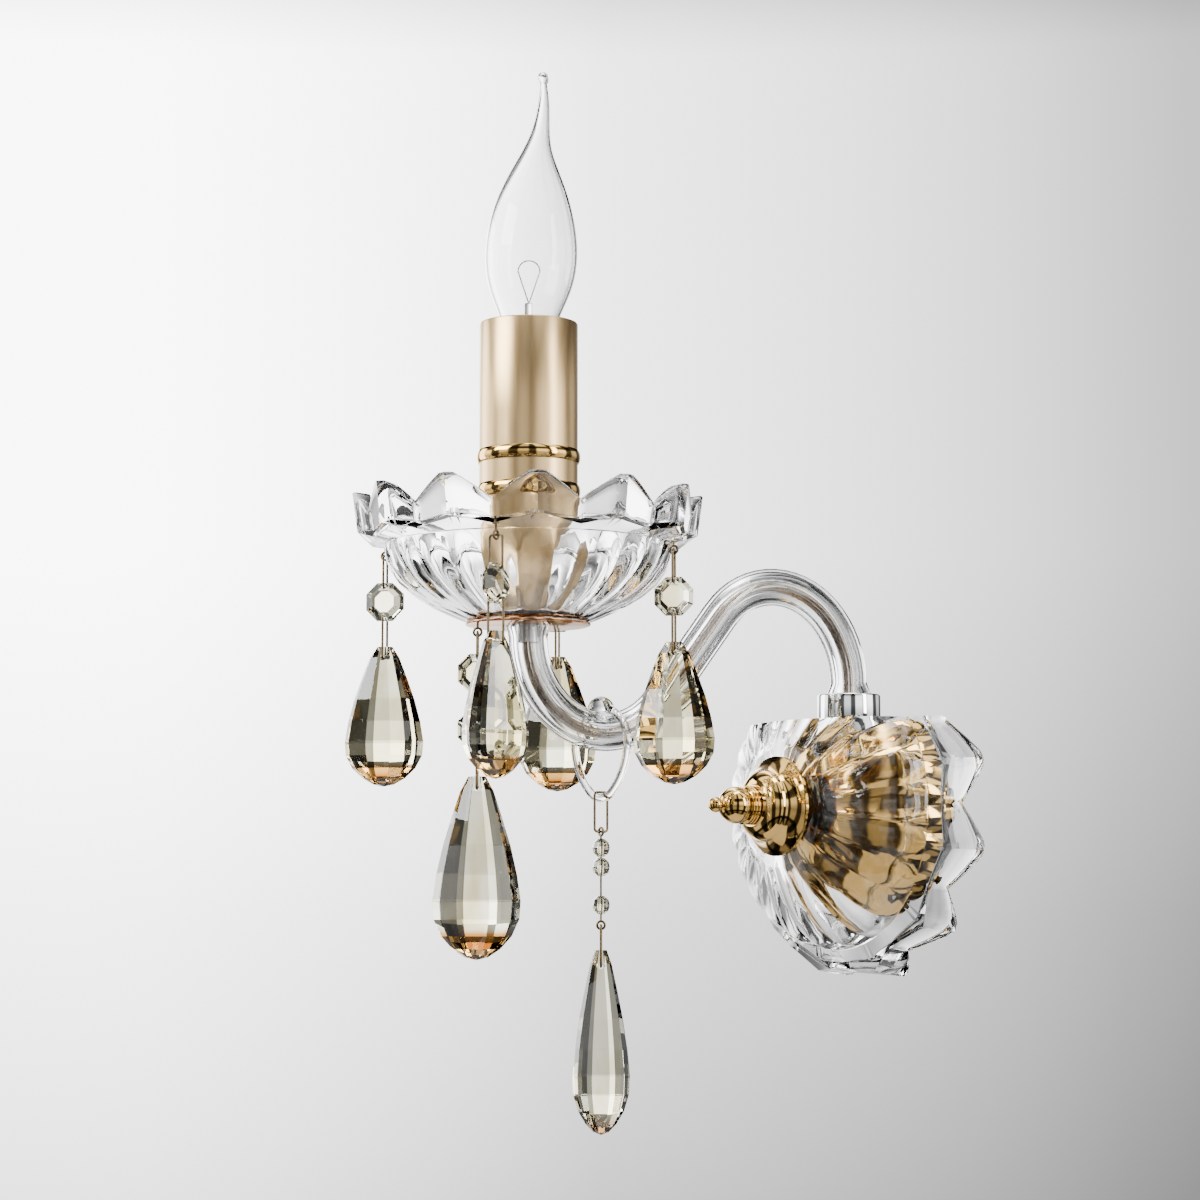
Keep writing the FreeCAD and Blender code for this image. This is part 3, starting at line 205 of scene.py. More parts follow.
def makeFinish(name, look):
    finish = bpy.data.materials.new(name)
    finish.use_nodes = True
    nodes, links = finish.node_tree.nodes, finish.node_tree.links
    shader = nodes["Principled BSDF"]
    for socket, setting in look.get("shader", {}).items():
        shader.inputs[socket].default_value = setting
    coordinates = nodes.new("ShaderNodeTexCoord")
    stretch = nodes.new("ShaderNodeMapping")
    stretch.inputs["Scale"].default_value = look.get("stretch", (1, 1, 1))
    grain = nodes.new("ShaderNodeTexNoise")
    grain.inputs["Scale"].default_value = look["grain"]
    grain.inputs["Detail"].default_value = 3
    links.new(coordinates.outputs["Object"], stretch.inputs["Vector"])
    links.new(stretch.outputs["Vector"], grain.inputs["Vector"])
    tones = nodes.new("ShaderNodeValToRGB")
    for element, tone in zip(tones.color_ramp.elements, look["tones"]):
        element.color = (*tone, 1)
    for element, place in zip(tones.color_ramp.elements, look.get("blend", (0.3, 0.7))):
        element.position = place
    links.new(grain.outputs["Fac"], tones.inputs["Fac"])
    colour = tones.outputs["Color"]
    if "fade" in look:  # a second colour that comes in downwards
        low, high, tint = look["fade"]
        split = nodes.new("ShaderNodeSeparateXYZ")
        level = nodes.new("ShaderNodeMapRange")
        level.inputs["From Min"].default_value = low * mm
        level.inputs["From Max"].default_value = high * mm
        level.inputs["To Min"].default_value = 1
        level.inputs["To Max"].default_value = 0
        blend = nodes.new("ShaderNodeMix")
        blend.data_type = "RGBA"
        links.new(coordinates.outputs["Object"], split.inputs["Vector"])
        links.new(split.outputs["Z"], level.inputs["Value"])
        links.new(level.outputs["Result"], blend.inputs["Factor"])
        links.new(colour, blend.inputs[6])
        blend.inputs[7].default_value = (*tint, 1)
        colour = blend.outputs[2]
    links.new(colour, shader.inputs["Base Color"])
    gloss = nodes.new("ShaderNodeMapRange")
    gloss.inputs["To Min"].default_value, gloss.inputs["To Max"].default_value = look["roughness"]
    links.new(grain.outputs["Fac"], gloss.inputs["Value"])
    links.new(gloss.outputs["Result"], shader.inputs["Roughness"])
    if "ripple" in look:
        bump = nodes.new("ShaderNodeBump")
        bump.inputs["Strength"].default_value = look["ripple"]
        bump.inputs["Distance"].default_value = 0.2 * mm
        links.new(grain.outputs["Fac"], bump.inputs["Height"])
        links.new(bump.outputs["Normal"], shader.inputs["Normal"])
    return finish


clear = {"Transmission Weight": 1.0, "IOR": 1.5}
crystal = {"Transmission Weight": 1.0, "IOR": 1.58}
metal = {"Metallic": 1.0}
looks = {
    "clear_glass": {"shader": clear, "grain": 90, "ripple": 0.16,
                    "tones": ((0.97, 0.975, 0.98), (1, 1, 1)), "roughness": (0.0, 0.02)},
    "bent_glass": {"shader": clear, "grain": 45, "ripple": 0.08, "stretch": (1, 0.3, 0.3),
                   "tones": ((0.95, 0.96, 0.97), (1, 1, 1)), "roughness": (0.0, 0.02)},
    "lamp_glass": {"shader": {**clear, "IOR": 1.45}, "grain": 30,
                   "tones": ((0.93, 0.93, 0.94), (0.97, 0.97, 0.97)), "roughness": (0.0, 0.01)},
    "tinted_crystal": {"shader": crystal, "grain": 60, "stretch": (1, 1, 0.35),
                       "blend": (0.41, 0.5), "tones": ((0.70, 0.60, 0.33), (0.90, 0.88, 0.68)),
                       "roughness": (0.0, 0.01)},
    "polished_gilt": {"shader": metal, "grain": 90, "ripple": 0.02,
                      "tones": ((0.60, 0.36, 0.10), (0.76, 0.49, 0.16)),
                      "roughness": (0.05, 0.12)},
    "satin_champagne": {"shader": metal, "grain": 400, "stretch": (1, 1, 0.1),
                        "tones": ((0.64, 0.43, 0.20), (0.74, 0.52, 0.26)),
                        "roughness": (0.26, 0.36)},
    "copper_gilt": {"shader": metal, "grain": 120,
                    "tones": ((0.74, 0.36, 0.17), (0.84, 0.47, 0.26)),
                    "roughness": (0.10, 0.2)},
    "chrome": {"shader": metal, "grain": 150,
               "tones": ((0.84, 0.85, 0.87), (0.90, 0.91, 0.92)), "roughness": (0.02, 0.06)},
    "zinc_steel": {"shader": metal, "grain": 200,
                   "tones": ((0.55, 0.56, 0.56), (0.70, 0.71, 0.70)), "roughness": (0.3, 0.5)},
    "brass": {"shader": metal, "grain": 200,
              "tones": ((0.68, 0.42, 0.14), (0.80, 0.54, 0.20)), "roughness": (0.1, 0.2)},
    "antique_wire": {"shader": metal, "grain": 500,
                     "tones": ((0.12, 0.09, 0.05), (0.22, 0.16, 0.09)), "roughness": (0.2, 0.4)},
    "terminal_plastic": {"shader": {"IOR": 1.5}, "grain": 150, "ripple": 0.05,
                         "tones": ((0.78, 0.76, 0.70), (0.84, 0.82, 0.77)),
                         "roughness": (0.35, 0.5)},
    "black_plastic": {"shader": {"IOR": 1.5}, "grain": 250, "ripple": 0.05,
                      "tones": ((0.02, 0.02, 0.02), (0.04, 0.04, 0.04)),
                      "roughness": (0.3, 0.45)},
    "clear_lead": {"shader": {"Transmission Weight": 1.0, "IOR": 1.4}, "grain": 90,
                   "tones": ((0.93, 0.91, 0.86), (0.97, 0.96, 0.93)), "roughness": (0.03, 0.1)},
    "lead_copper": {"shader": metal, "grain": 700, "stretch": (1, 1, 0.2),
                    "tones": ((0.40, 0.34, 0.29), (0.52, 0.45, 0.40)), "roughness": (0.2, 0.4)},
    "filament_wire": {"shader": metal, "grain": 900,
                      "tones": ((0.40, 0.33, 0.26), (0.55, 0.47, 0.38)),
                      "roughness": (0.25, 0.4)},
    "nickel": {"shader": metal, "grain": 200,
               "tones": ((0.66, 0.63, 0.58), (0.76, 0.74, 0.70)), "roughness": (0.15, 0.3)},
}
dropFades = {"bowl": (12, 14), "front": (-48, -45), "arm": (-118, -113)}  # heights, low and high
warmTip = (0.36, 0.11, 0.01)
for name, (low, high) in dropFades.items():
    looks[name + "_drops"] = {**looks["tinted_crystal"], "fade": (low, high, warmTip)}
finishes = {name: makeFinish(name, look) for name, look in looks.items()}

slotOf = {row["node"]: row["material_slot"] for row in frame["record"]["subparts"]}
for node, slotName in slotOf.items():
    thing = frame["nodes"][node]
    thing.data.materials.clear()
    thing.data.materials.append(finishes[slotName])
print("finishes made:", len(finishes))


# pressed glass: round rings first, then petals, wall and flutes

blank = {
    "petals": 12, "steps": 12,        # columns in one petal
    "hole": 4.3, "foot": 22, "ledgeInner": 52, "ledgeHeight": 28, "fullness": 2.5,
    "shares": (0.05, 0.13, 0.23, 0.35, 0.5, 0.68, 0.86, 1),
    "ledgeOuter": 61.9, "ledgeLevel": 30.6, "zigzag": 1.6,
    "wallShares": (0.3, 0.65, 1),     # rings between the ledge and the rim
    "rim": 63.9, "depth": 46.9, "notch": 9.8, "tip": 0.15, "archCurve": 1.15,
    "valley": 0.945, "wall": 3.0, "petalWall": 3.4, "petalSlope": 1.2, "edge": 0.6,
    "belowLedge": 0.5, "corner": 1.5,  # clear of the ledge's ring, and of the inner corner on it
    "underNotch": 2,                  # the sloping top starts this far under the notches
    "fluteDepth": 2.0,                # and its share at places from ridge (0) to valley (1)
    "fluteShape": ((0.5, 1), (1 / 3, 0.5), (2 / 3, 0.5), (1 / 6, 0.13), (5 / 6, 0.13)),
}
sameLevel = 0.0001  # metres
sameColumn = 0.01


def column(vertex):
    # how far round its petal a vertex stands: 0 on the ridge, 1 in the valley
    count = blank["petals"] * blank["steps"]
    number = round(math.atan2(vertex.co.y, vertex.co.x) / math.tau * count) % blank["steps"]
    return min(number, blank["steps"] - number) * 2 / blank["steps"]


def growRing(radius, height, was):
    rise = Vector((0, 0, height - was[1])) * mm
    bpy.ops.mesh.extrude_region_move(TRANSFORM_OT_translate={"value": rise})
    scale = radius / was[0]
    bpy.ops.transform.resize(value=(scale, scale, 1), center_override=(0, 0, height * mm))
    return radius, height


def pressGlass():
    startPiece()
    bpy.ops.mesh.primitive_circle_add(vertices=blank["petals"] * blank["steps"],
                                      radius=blank["hole"] * mm)
    editAll()
    ring = growRing(blank["foot"], 0, (blank["hole"], 0))
    spread = blank["ledgeInner"] - blank["foot"]
    for share in blank["shares"]:
        radius = blank["foot"] + spread * (1 - (1 - share) ** blank["fullness"])
        ring = growRing(radius, share * blank["ledgeHeight"], ring)
    ring = growRing(blank["ledgeOuter"], blank["ledgeLevel"], ring)
    wallHeight = blank["depth"] - blank["ledgeLevel"]
    for share in blank["wallShares"]:
        radius = blank["ledgeOuter"] + share * (blank["rim"] - blank["ledgeOuter"])
        ring = growRing(radius, blank["ledgeLevel"] + share * wallHeight, ring)
    ledge = (blank["ledgeLevel"] - blank["belowLedge"]) * mm
    half = blank["steps"] // 2
    for number in range(half + 1):
        side = number / half
        # flat facets from the ridge down to the valley
        turn = math.pi / blank["petals"]
        chord = blank["valley"] * math.sin(turn) / (
            math.sin(side * turn) + blank["valley"] * math.sin((1 - side) * turn))
        def onColumn(vertex):
            return abs(column(vertex) - side) < sameColumn and vertex.co.z > ledge
        pickVertices(onColumn)
        bpy.ops.transform.resize(value=(chord, chord, 1), center_override=(0, 0, 0))
        # zigzag at the ledge, pointed arches at the rim
        lift = blank["zigzag"] * (1 - 2 * side)
        notch = max(0, (side - blank["tip"]) / (1 - blank["tip"])) ** blank["archCurve"]
        drop = blank["notch"] * notch
        for share in (0, *blank["wallShares"]):
            level = (blank["ledgeLevel"] + share * wallHeight) * mm
            pickVertices(lambda vertex: onColumn(vertex) and abs(vertex.co.z - level) < sameLevel)
            change = (1 - share) * lift - share * drop
            if abs(change) > 0.001:
                bpy.ops.transform.translate(value=(0, 0, change * mm))
    bpy.ops.mesh.select_all(action="SELECT")
    bpy.ops.mesh.normals_make_consistent(inside=False)
    bpy.ops.object.mode_set(mode="OBJECT")
    outside = len(bpy.context.object.data.vertices)
    shapeWith("SOLIDIFY", thickness=blank["wall"] * mm, offset=-1, use_even_offset=True)
    # the petals are thicker blocks of glass, with a top that slopes inwards
    editAll()
    wallFoot = ledge + blank["corner"] * mm
    petalTop = (blank["depth"] - blank["notch"] - blank["underNotch"]) * mm
    for number in range(half + 1):
        thicker = 1 - blank["petalWall"] * (1 - number / half) / blank["rim"]
        pickVertices(lambda vertex: vertex.index >= outside and vertex.co.z > wallFoot
                     and abs(column(vertex) - number / half) < sameColumn)
        bpy.ops.transform.resize(value=(thicker, thicker, 1), center_override=(0, 0, 0))
        pickVertices(lambda vertex: vertex.index >= outside and vertex.co.z > petalTop
                     and abs(column(vertex) - number / half) < sameColumn)
        bpy.ops.transform.translate(value=(0, 0, -blank["petalSlope"] * (1 - number / half) * mm))
    # grooves between the flutes, two to a petal, on the outside only; they fade at foot and ledge
    for share in blank["shares"][:-1]:
        level = share * blank["ledgeHeight"] * mm
        depth = blank["fluteDepth"] * min(1, 3 * share + 0.2) * min(1, 2.4 * (1 - share) + 0.2)
        for side, part in blank["fluteShape"]:
            def inGroove(vertex):
                return (vertex.index < outside and abs(vertex.co.z - level) < sameLevel
                        and abs(column(vertex) - side) < sameColumn)
            pickVertices(inGroove)
            radius = blank["foot"] + spread * (1 - (1 - share) ** blank["fullness"])
            scale = 1 - depth * part / radius
            bpy.ops.transform.resize(value=(scale, scale, 1), center_override=(0, 0, level))
    bpy.ops.object.mode_set(mode="OBJECT")
    return bpy.context.object


bowl = pressGlass()
wallDish = {"spread": 1.05, "out": 50, "cut": 33}  # cut off level, where the arm's collar stands
dish = copyOf(bowl)
roundEdges(blank["edge"], angle=45)
dish.scale = (wallDish["spread"], wallDish["spread"], 1)
settle(spot(0, 0, 0), (0, 0, 180 / blank["petals"]))
settle(spot(0, wallDish["out"], 0), (-90, 0, 0))
editAll()
bpy.ops.mesh.bisect(plane_co=(0, 0, wallDish["cut"] * mm), plane_no=(0, 0, 1), use_fill=True,
                    clear_outer=True)
bpy.ops.object.mode_set(mode="OBJECT")
mergeSeams(0.001)
finishPiece("wall_dish_glass", finishes["clear_glass"], ["wall_dish"], smooth=28)

# the candle's distance from the wall, the heights at which its parts stand, and their bore
candle = {"out": 164, "disc": 62.8, "bowl": 64, "cup": 68, "sleeve": 109.5, "bore": 4.2}
candleAxis = spot(0, candle["out"], 0)
startPiece()
bowl.select_set(True)
bpy.context.view_layer.objects.active = bowl
roundEdges(blank["edge"], angle=45)
settle(spot(0, candle["out"], candle["bowl"]))
finishPiece("candle_bowl_glass", finishes["clear_glass"], ["candle_bowl"], smooth=28)
print("pressed glass done")


# gilt canopy under the dish, cap cup and finial in front of it

canopy = {"rim": 44, "round": 39.5, "wallGap": 0.5, "shelf": 33, "wall": 1.2, "edge": 0.4,
          "columns": 144, "stepsInFlute": 6, "flute": (1.5, 0.62, 0.14)}  # depth, middle first
crown = arcPoints((canopy["rim"] - canopy["round"], canopy["wallGap"]), canopy["round"], 0, 90, 24)
turnPiece([(0, canopy["wallGap"]), *crown, (0, canopy["wallGap"] + canopy["round"])],
          spot(0, 0, 0), (90, 0, 0), canopy["columns"])
editAll()
for number, depth in enumerate(canopy["flute"]):
    def onFlute(vertex):
        step = round(math.atan2(vertex.co.z, vertex.co.x) / math.tau * canopy["columns"])
        step = step % canopy["stepsInFlute"]
        return min(step, canopy["stepsInFlute"] - step) == number
    pickVertices(onFlute)
    scale = 1 - depth / canopy["rim"]
    bpy.ops.transform.resize(value=(scale, 1, scale), center_override=(0, 0, 0))
bpy.ops.mesh.select_all(action="SELECT")
bpy.ops.mesh.bisect(plane_co=(0, 0, canopy["shelf"] * mm), plane_no=(0, 0, 1), use_fill=True,
                    clear_outer=True)
bpy.ops.object.mode_set(mode="OBJECT")
mergeSeams()
editAll()
pickVertices(lambda vertex: vertex.co.y > -(canopy["wallGap"] + 0.01) * mm)
bpy.ops.mesh.select_mode(type="FACE")
bpy.ops.mesh.delete(type="FACE")
bpy.ops.object.mode_set(mode="OBJECT")
shapeWith("SOLIDIFY", thickness=canopy["wall"] * mm, offset=-1, use_even_offset=True)
roundEdges(canopy["edge"], 2, 50)
finishPiece("canopy_gilt", finishes["polished_gilt"], ["canopy_shell"])

cap = {"seat": 50, "bore": 3.1, "rim": 19, "lip": 1.8, "waist": 13.5, "waistHeight": 7,
       "top": 8, "height": 13.2}
profile = [(cap["bore"], 0), (cap["rim"] - 1.4, 0), (cap["rim"], 0.35), (cap["rim"], 1.45),
           (cap["rim"] - 0.5, cap["lip"]), (cap["rim"] - 1.6, 2.3), (16.0, 3.4), (14.8, 4.7),
           (13.9, 5.9), (cap["waist"], cap["waistHeight"]), (13.5, 7.7), (13.2, 8.6),
           (12.4, 9.8), (11.2, 10.9), (9.7, 11.8), (8.2, 12.3), (cap["top"], cap["height"]),
           (cap["bore"], cap["height"])]
turnPiece(profile, spot(0, cap["seat"], 0), (90, 0, 0), 96)
finishPiece("cap_cup_gilt", finishes["polished_gilt"], ["cap_cup"], smooth=30)

finial = {"seat": 63.2, "ridges": 3, "ridge": 7.35, "pitch": 1.4, "beadSeat": (6.4, 4.2),
          "bead": 7.0, "beadCentre": 7.04, "ball": 2.9, "ballCentre": 16.55}
profile = [(0, 0)]
for number in range(finial["ridges"]):
    base = number * finial["pitch"]
    profile += [(finial["ridge"] - 0.75, base + 0.02), (finial["ridge"] - 0.1, base + 0.35),
                (finial["ridge"], base + 0.7), (finial["ridge"] - 0.1, base + 1.05)]
profile.append(finial["beadSeat"])
profile += arcPoints((0, finial["beadCentre"]), finial["bead"], -22, 74, 16)
profile += arcPoints((0, finial["ballCentre"]), finial["ball"], -51, 90, 12)
turnPiece(profile, spot(0, finial["seat"], 0), (90, 0, 0), 64)
finishPiece("finial_gilt", finishes["polished_gilt"], ["finial"], smooth=30)
print("canopy, cap cup and finial done")


# chromed collar, bent glass arm, its lead, and the glass loop

collar = {"out": 15, "base": 33, "radius": 12.25, "height": 11, "inner": 9.2, "floor": 3,
          "hole": 5.2, "edge": 0.7}
turnPiece([(collar["hole"], 0), (collar["radius"], 0), (collar["radius"], collar["height"]),
           (collar["inner"], collar["height"]), (collar["inner"], collar["floor"]),
           (collar["hole"], collar["floor"]), (collar["hole"], 0)],
          spot(0, collar["out"], collar["base"]), steps=96)
roundEdges(collar["edge"], 3)
finishPiece("arm_collar_chrome", finishes["chrome"], ["arm_collar"])

arm = {"foot": (0, 15, 36.2), "archTurn": 140.45, "archRadius": 35.5, "between": 43.47,
       "dipRadius": 33, "footRadius": 8.9, "radius": 7.1, "wall": 2.8, "edge": 0.3,
       "footHeight": 7.4, "taper": (1.2, 1.2, 1.2, 1.3),  # lengths over which the foot slims
       "swell": ((1.5, 1.04), (1.4, 1.05), (1.3, 1.04))}  # length and growth under the disc
bends = [("turn", arm["archRadius"], arm["archTurn"], right), ("go", arm["between"]),
         ("turn", arm["dipRadius"], arm["archTurn"], -right)]
slim = (arm["radius"] / arm["footRadius"]) ** (1 / len(arm["taper"]))
armPath = [("go", arm["footHeight"])]
for length in arm["taper"]:
    armPath += [("go", length), ("grow", slim)]
armPath += bends
for length, growth in arm["swell"]:
    armPath += [("go", length), ("grow", growth)]
drawTube(arm["footRadius"], spot(*arm["foot"]), up, armPath, sides=40)
mergeSeams()
shapeWith("SOLIDIFY", thickness=arm["wall"] * mm, offset=-1, use_even_offset=True)
roundEdges(arm["edge"], 2, 50)
finishPiece("glass_arm_tube", finishes["bent_glass"], ["glass_arm"], smooth=40)

outward = Vector((0, -1, 0))
lead = {"start": (-14, 15, 7), "level": 5, "bend": 9, "rise": 32.5, "last": 65.4,
        "sheath": 2.4, "core": 0.85, "apart": 1.05}
leadPath = [("go", lead["level"]), ("turn", lead["bend"], 90, outward), ("go", lead["rise"]),
            *bends, ("go", lead["last"])]
drawTube(lead["sheath"], spot(*lead["start"]), right, leadPath, sides=16)
fillEnds()
mergeSeams()
finishPiece("lead_sheath", finishes["clear_lead"], ["arm_lead"], smooth=40)
across, out, height = lead["start"]
cores = []
for side in (-1, 1):
    corePath = [leadPath[0], ("turn", lead["bend"] + side * lead["apart"], 90, outward),
                *leadPath[2:]]
    drawTube(lead["core"], spot(across, out, height - side * lead["apart"]), right, corePath,
             sides=10)
    fillEnds()
    cores.append(bpy.context.object)
joinPieces(cores)
finishPiece("lead_cores", finishes["lead_copper"], smooth=40)

loop = {"place": 132, "crown": 12.5, "toe": 7, "rod": 1.5, "top": 34.4, "bottom": 1.3,
        "ball": 5, "ballCentre": 33.6, "cut": 32.85, "turn": 16}  # it hangs a little askew
# each side is an arc that meets the crown and the toe smoothly
fall = loop["top"] - loop["crown"] - loop["bottom"] - loop["toe"]
sideRadius = ((fall ** 2 + loop["crown"] ** 2 - loop["toe"] ** 2)
              / (2 * (loop["crown"] - loop["toe"])))
sideTurn = math.degrees(math.asin(fall / (sideRadius - loop["toe"])))
drawTube(loop["rod"], spot(loop["crown"], loop["place"], loop["top"] - loop["crown"]), up,
         [("turn", loop["crown"], 180, outward), ("turn", sideRadius, sideTurn, outward),
          ("turn", loop["toe"], 180 - 2 * sideTurn, outward),
          ("turn", sideRadius, sideTurn, outward)], sides=20)
mergeSeams(0.05)
hoop = bpy.context.object
startPiece()
bpy.ops.mesh.primitive_uv_sphere_add(segments=40, ring_count=24, radius=loop["ball"] * mm,
                                     location=spot(0, loop["place"], loop["ballCentre"]))
bpy.ops.object.transform_apply(location=True, rotation=True, scale=True)
editAll()
bpy.ops.mesh.bisect(plane_co=(0, 0, loop["cut"] * mm), plane_no=(0, 0, 1), use_fill=True,
                    clear_inner=True)
bpy.ops.object.mode_set(mode="OBJECT")
shapeWith("BOOLEAN", operation="UNION", object=hoop, solver="EXACT")
ballAndHoop = bpy.context.object
toss(hoop)
ballAndHoop.select_set(True)
bpy.context.view_layer.objects.active = ballAndHoop
loopAxis = Matrix.Translation(spot(0, loop["place"], 0))
ballAndHoop.data.transform(loopAxis @ Matrix.Rotation(math.radians(loop["turn"]), 4, "Z")
                           @ loopAxis.inverted())
finishPiece("arm_loop_glass", finishes["clear_glass"], ["arm_loop"], smooth=40)
print("collar, arm, lead and loop done")


# disc, candle cup, sleeve and its two rings

turnPiece([(candle["bore"], 0), (21.9, 0), (22.6, 0.25), (22.8, 0.6), (22.6, 0.95), (21.9, 1.2),
           (candle["bore"], 1.2), (candle["bore"], 0)], spot(0, candle["out"], candle["disc"]),
          steps=96)
finishPiece("pin_disc_gilt", finishes["copper_gilt"], ["pin_disc"], smooth=30)

cup = {"foot": 10.5, "mouth": 17.6, "height": 41.5, "floor": 1.0}
turnPiece([(candle["bore"], 0), (cup["foot"] - 0.6, 0), (cup["foot"], 0.6), (11.2, 4), (12.6, 11),
           (14.0, 19), (15.4, 28), (16.7, 36), (17.3, 39.6), (cup["mouth"], 40.6),
           (cup["mouth"], 41.2), (17.3, cup["height"]), (16.7, cup["height"]), (16.4, 40),
           (14.4, 28), (11.6, 11), (9.5, 1.2), (candle["bore"], cup["floor"]),
           (candle["bore"], 0)], spot(0, candle["out"], candle["cup"]), steps=96)
finishPiece("candle_cup_gilt", finishes["satin_champagne"], ["candle_cup"],
            smooth=30)

sleeve = {"radius": 18, "inner": 16.8, "middle": 30, "brim": 63.9, "height": 64.5}
turnPiece([(sleeve["inner"], 0), (17.8, 0), (sleeve["radius"], 0.25),
           (sleeve["radius"], sleeve["middle"]), (sleeve["radius"], sleeve["brim"]),
           (17.75, 64.35), (17.4, sleeve["height"]), (17.1, 64.4),
           (sleeve["inner"], sleeve["brim"]), (sleeve["inner"], sleeve["middle"]),
           (sleeve["inner"], 0)],
          spot(0, candle["out"], candle["sleeve"]), steps=96)
finishPiece("candle_sleeve_satin", finishes["satin_champagne"],
            ["candle_sleeve"], smooth=30)

rings = {"lower_ring": 109.5, "upper_ring": 122.1}  # height of each ring's lower edge
for name, level in rings.items():
    turnPiece([(18.08, 0.05), (18.3, 0.05), (18.6, 0.5), (18.85, 1.3), (18.95, 2.4), (18.85, 3.5),
               (18.6, 4.3), (18.3, 4.75), (18.08, 4.75), (18.08, 0.05)],
              spot(0, candle["out"], level), steps=96)
    finishPiece(name + "_gilt", finishes["polished_gilt"], [name], smooth=30)
print("candle parts done")


# lamp: a flame drawn out to a bent tip, with a bead at its end

lamp = {
    "base": 159.5, "height": 109.3, "radius": 17.5, "wall": 0.7, "lean": 5.6, "toward": 55,
    "sides": 40,
    # share of the height, of the radius and of the lean
    "stations": ((0, 0.385, 0), (0.03, 0.395, 0), (0.085, 0.47, 0.02), (0.169, 0.66, 0.05),
                 (0.258, 0.91, 0.1), (0.357, 0.995, 0.14), (0.455, 0.94, 0.17),
                 (0.562, 0.77, 0.25), (0.664, 0.48, 0.38), (0.732, 0.28, 0.54),
                 (0.8, 0.18, 0.8), (0.868, 0.137, 0.96), (0.936, 0.095, 1), (0.958, 0.075, 0.96),
                 (0.966, 0.105, 0.94), (0.978, 0.125, 0.92), (0.99, 0.1, 0.9), (0.998, 0.04, 0.9)),
}
startPiece()
bpy.ops.mesh.primitive_circle_add(vertices=lamp["sides"],
                                  radius=lamp["radius"] * lamp["stations"][0][1] * mm)
editAll()
toward = Vector((math.cos(math.radians(lamp["toward"])), math.sin(math.radians(lamp["toward"])), 0))
for near, far in zip(lamp["stations"], lamp["stations"][1:]):
    step = up * (far[0] - near[0]) * lamp["height"] + toward * (far[2] - near[2]) * lamp["lean"]
    bpy.ops.mesh.extrude_region_move(TRANSFORM_OT_translate={"value": step * mm})
    scale = far[1] / near[1]
    middle = (up * far[0] * lamp["height"] + toward * far[2] * lamp["lean"]) * mm
    bpy.ops.transform.resize(value=(scale, scale, 1), center_override=middle)
bpy.ops.mesh.merge(type="CENTER")
bpy.ops.mesh.select_all(action="SELECT")
bpy.ops.mesh.normals_make_consistent(inside=False)
bpy.ops.object.mode_set(mode="OBJECT")
shapeWith("SUBSURF", levels=2, render_levels=2)
shapeWith("SOLIDIFY", thickness=lamp["wall"] * mm, offset=-1)
settle(spot(0, candle["out"], lamp["base"]))
finishPiece("lamp_flame_glass", finishes["lamp_glass"], ["lamp_glass"], "lamp", 60)

lampCap = {"base": 135, "threads": 6, "first": 2, "pitch": 2.8, "height": 24.5}
profile = [(0, 0), (5.2, 0), (6.1, 1.4)]
for number in range(lampCap["threads"]):
    base = lampCap["first"] + number * lampCap["pitch"]
    profile += [(6.15, base), (6.75, base + 0.7), (6.88, base + 1.2), (6.75, base + 1.7),
                (6.2, base + 2.4)]
profile += [(6.3, 19.5), (6.85, 20.2), (6.85, 24.2), (6.6, lampCap["height"]),
            (0, lampCap["height"])]
turnPiece(profile, spot(0, candle["out"], lampCap["base"]), steps=48)
finishPiece("lamp_cap_thread", finishes["nickel"], ["lamp_cap"], "lamp")
print("lamp done")


# wires: links, hooks and eyes, each bent from one round wire

wire = {"radius": 0.45, "corner": 1.2, "eye": 1.4}


def bendLink(centre, across, top, height, width):
    corner = wire["corner"]
    begin = centre + (across * (corner - width / 2) + up * top) * mm
    axis = across.cross(-up)
    bend = ("turn", corner, 90, axis)
    drawTube(wire["radius"], begin, across,
             [("go", width - 2 * corner), bend, ("go", height - 2 * corner), bend,
              ("go", width - 2 * corner), bend, ("go", height - 2 * corner), bend], sides=12)
    mergeSeams(0.05)
    return bpy.context.object


def bendEye(centre, across):
    # the ring of the section starts on one side and goes all the way round
    begin = centre + across * wire["eye"] * mm
    drawTube(wire["radius"], begin, up, [("turn", wire["eye"], 360, across.cross(up))], sides=12)
    mergeSeams(0.05)
    return bpy.context.object


def cutShank(low, high):
    drawTube(wire["radius"], low, up, [("go", (high - low).length / mm)], sides=12)
    fillEnds()
    return bpy.context.object


bowlStrand = {"radius": 53.5, "eye": 89.5, "links": ((89.5, 11.7, 5.6), (67.4, 15.7, 6.6)),
              "shankTop": 95.4, "head": 1.2, "dropTop": 56.1, "drop": (51, 29.5, 18, 4.4)}
forward = Vector((0, 1, 0))
origin = Vector((0, 0, 0))
joinPieces([bendLink(origin, forward, *size) for size in bowlStrand["links"]])
plainLinks = bpy.context.object
hookParts = [bendEye(up * bowlStrand["eye"] * mm, right),
             cutShank(up * (bowlStrand["eye"] + wire["eye"]) * mm,
                      up * bowlStrand["shankTop"] * mm)]
turnPiece([(0, 0), (1.0, 0), (bowlStrand["head"], 0.15), (1.1, 0.35), (0.6, 0.5), (0, 0.52)],
          up * (bowlStrand["shankTop"] - 0.05) * mm, steps=24)
hookParts.append(bpy.context.object)
joinPieces(hookParts)
plainHook = bpy.context.object

# a cut drop: turned with few sides, then pressed flat, so that each face is a grid of facets
dropCut = {
    "sides": 10, "holeRadius": 0.85, "drillLength": 40,
    # share of the length from the top, share of the width
    "outline": ((0, 0.2), (0.08, 0.38), (0.22, 0.57), (0.38, 0.77), (0.54, 0.92), (0.68, 1),
                (0.78, 0.97), (0.87, 0.8), (0.94, 0.54), (0.985, 0.26), (1, 0)),
}


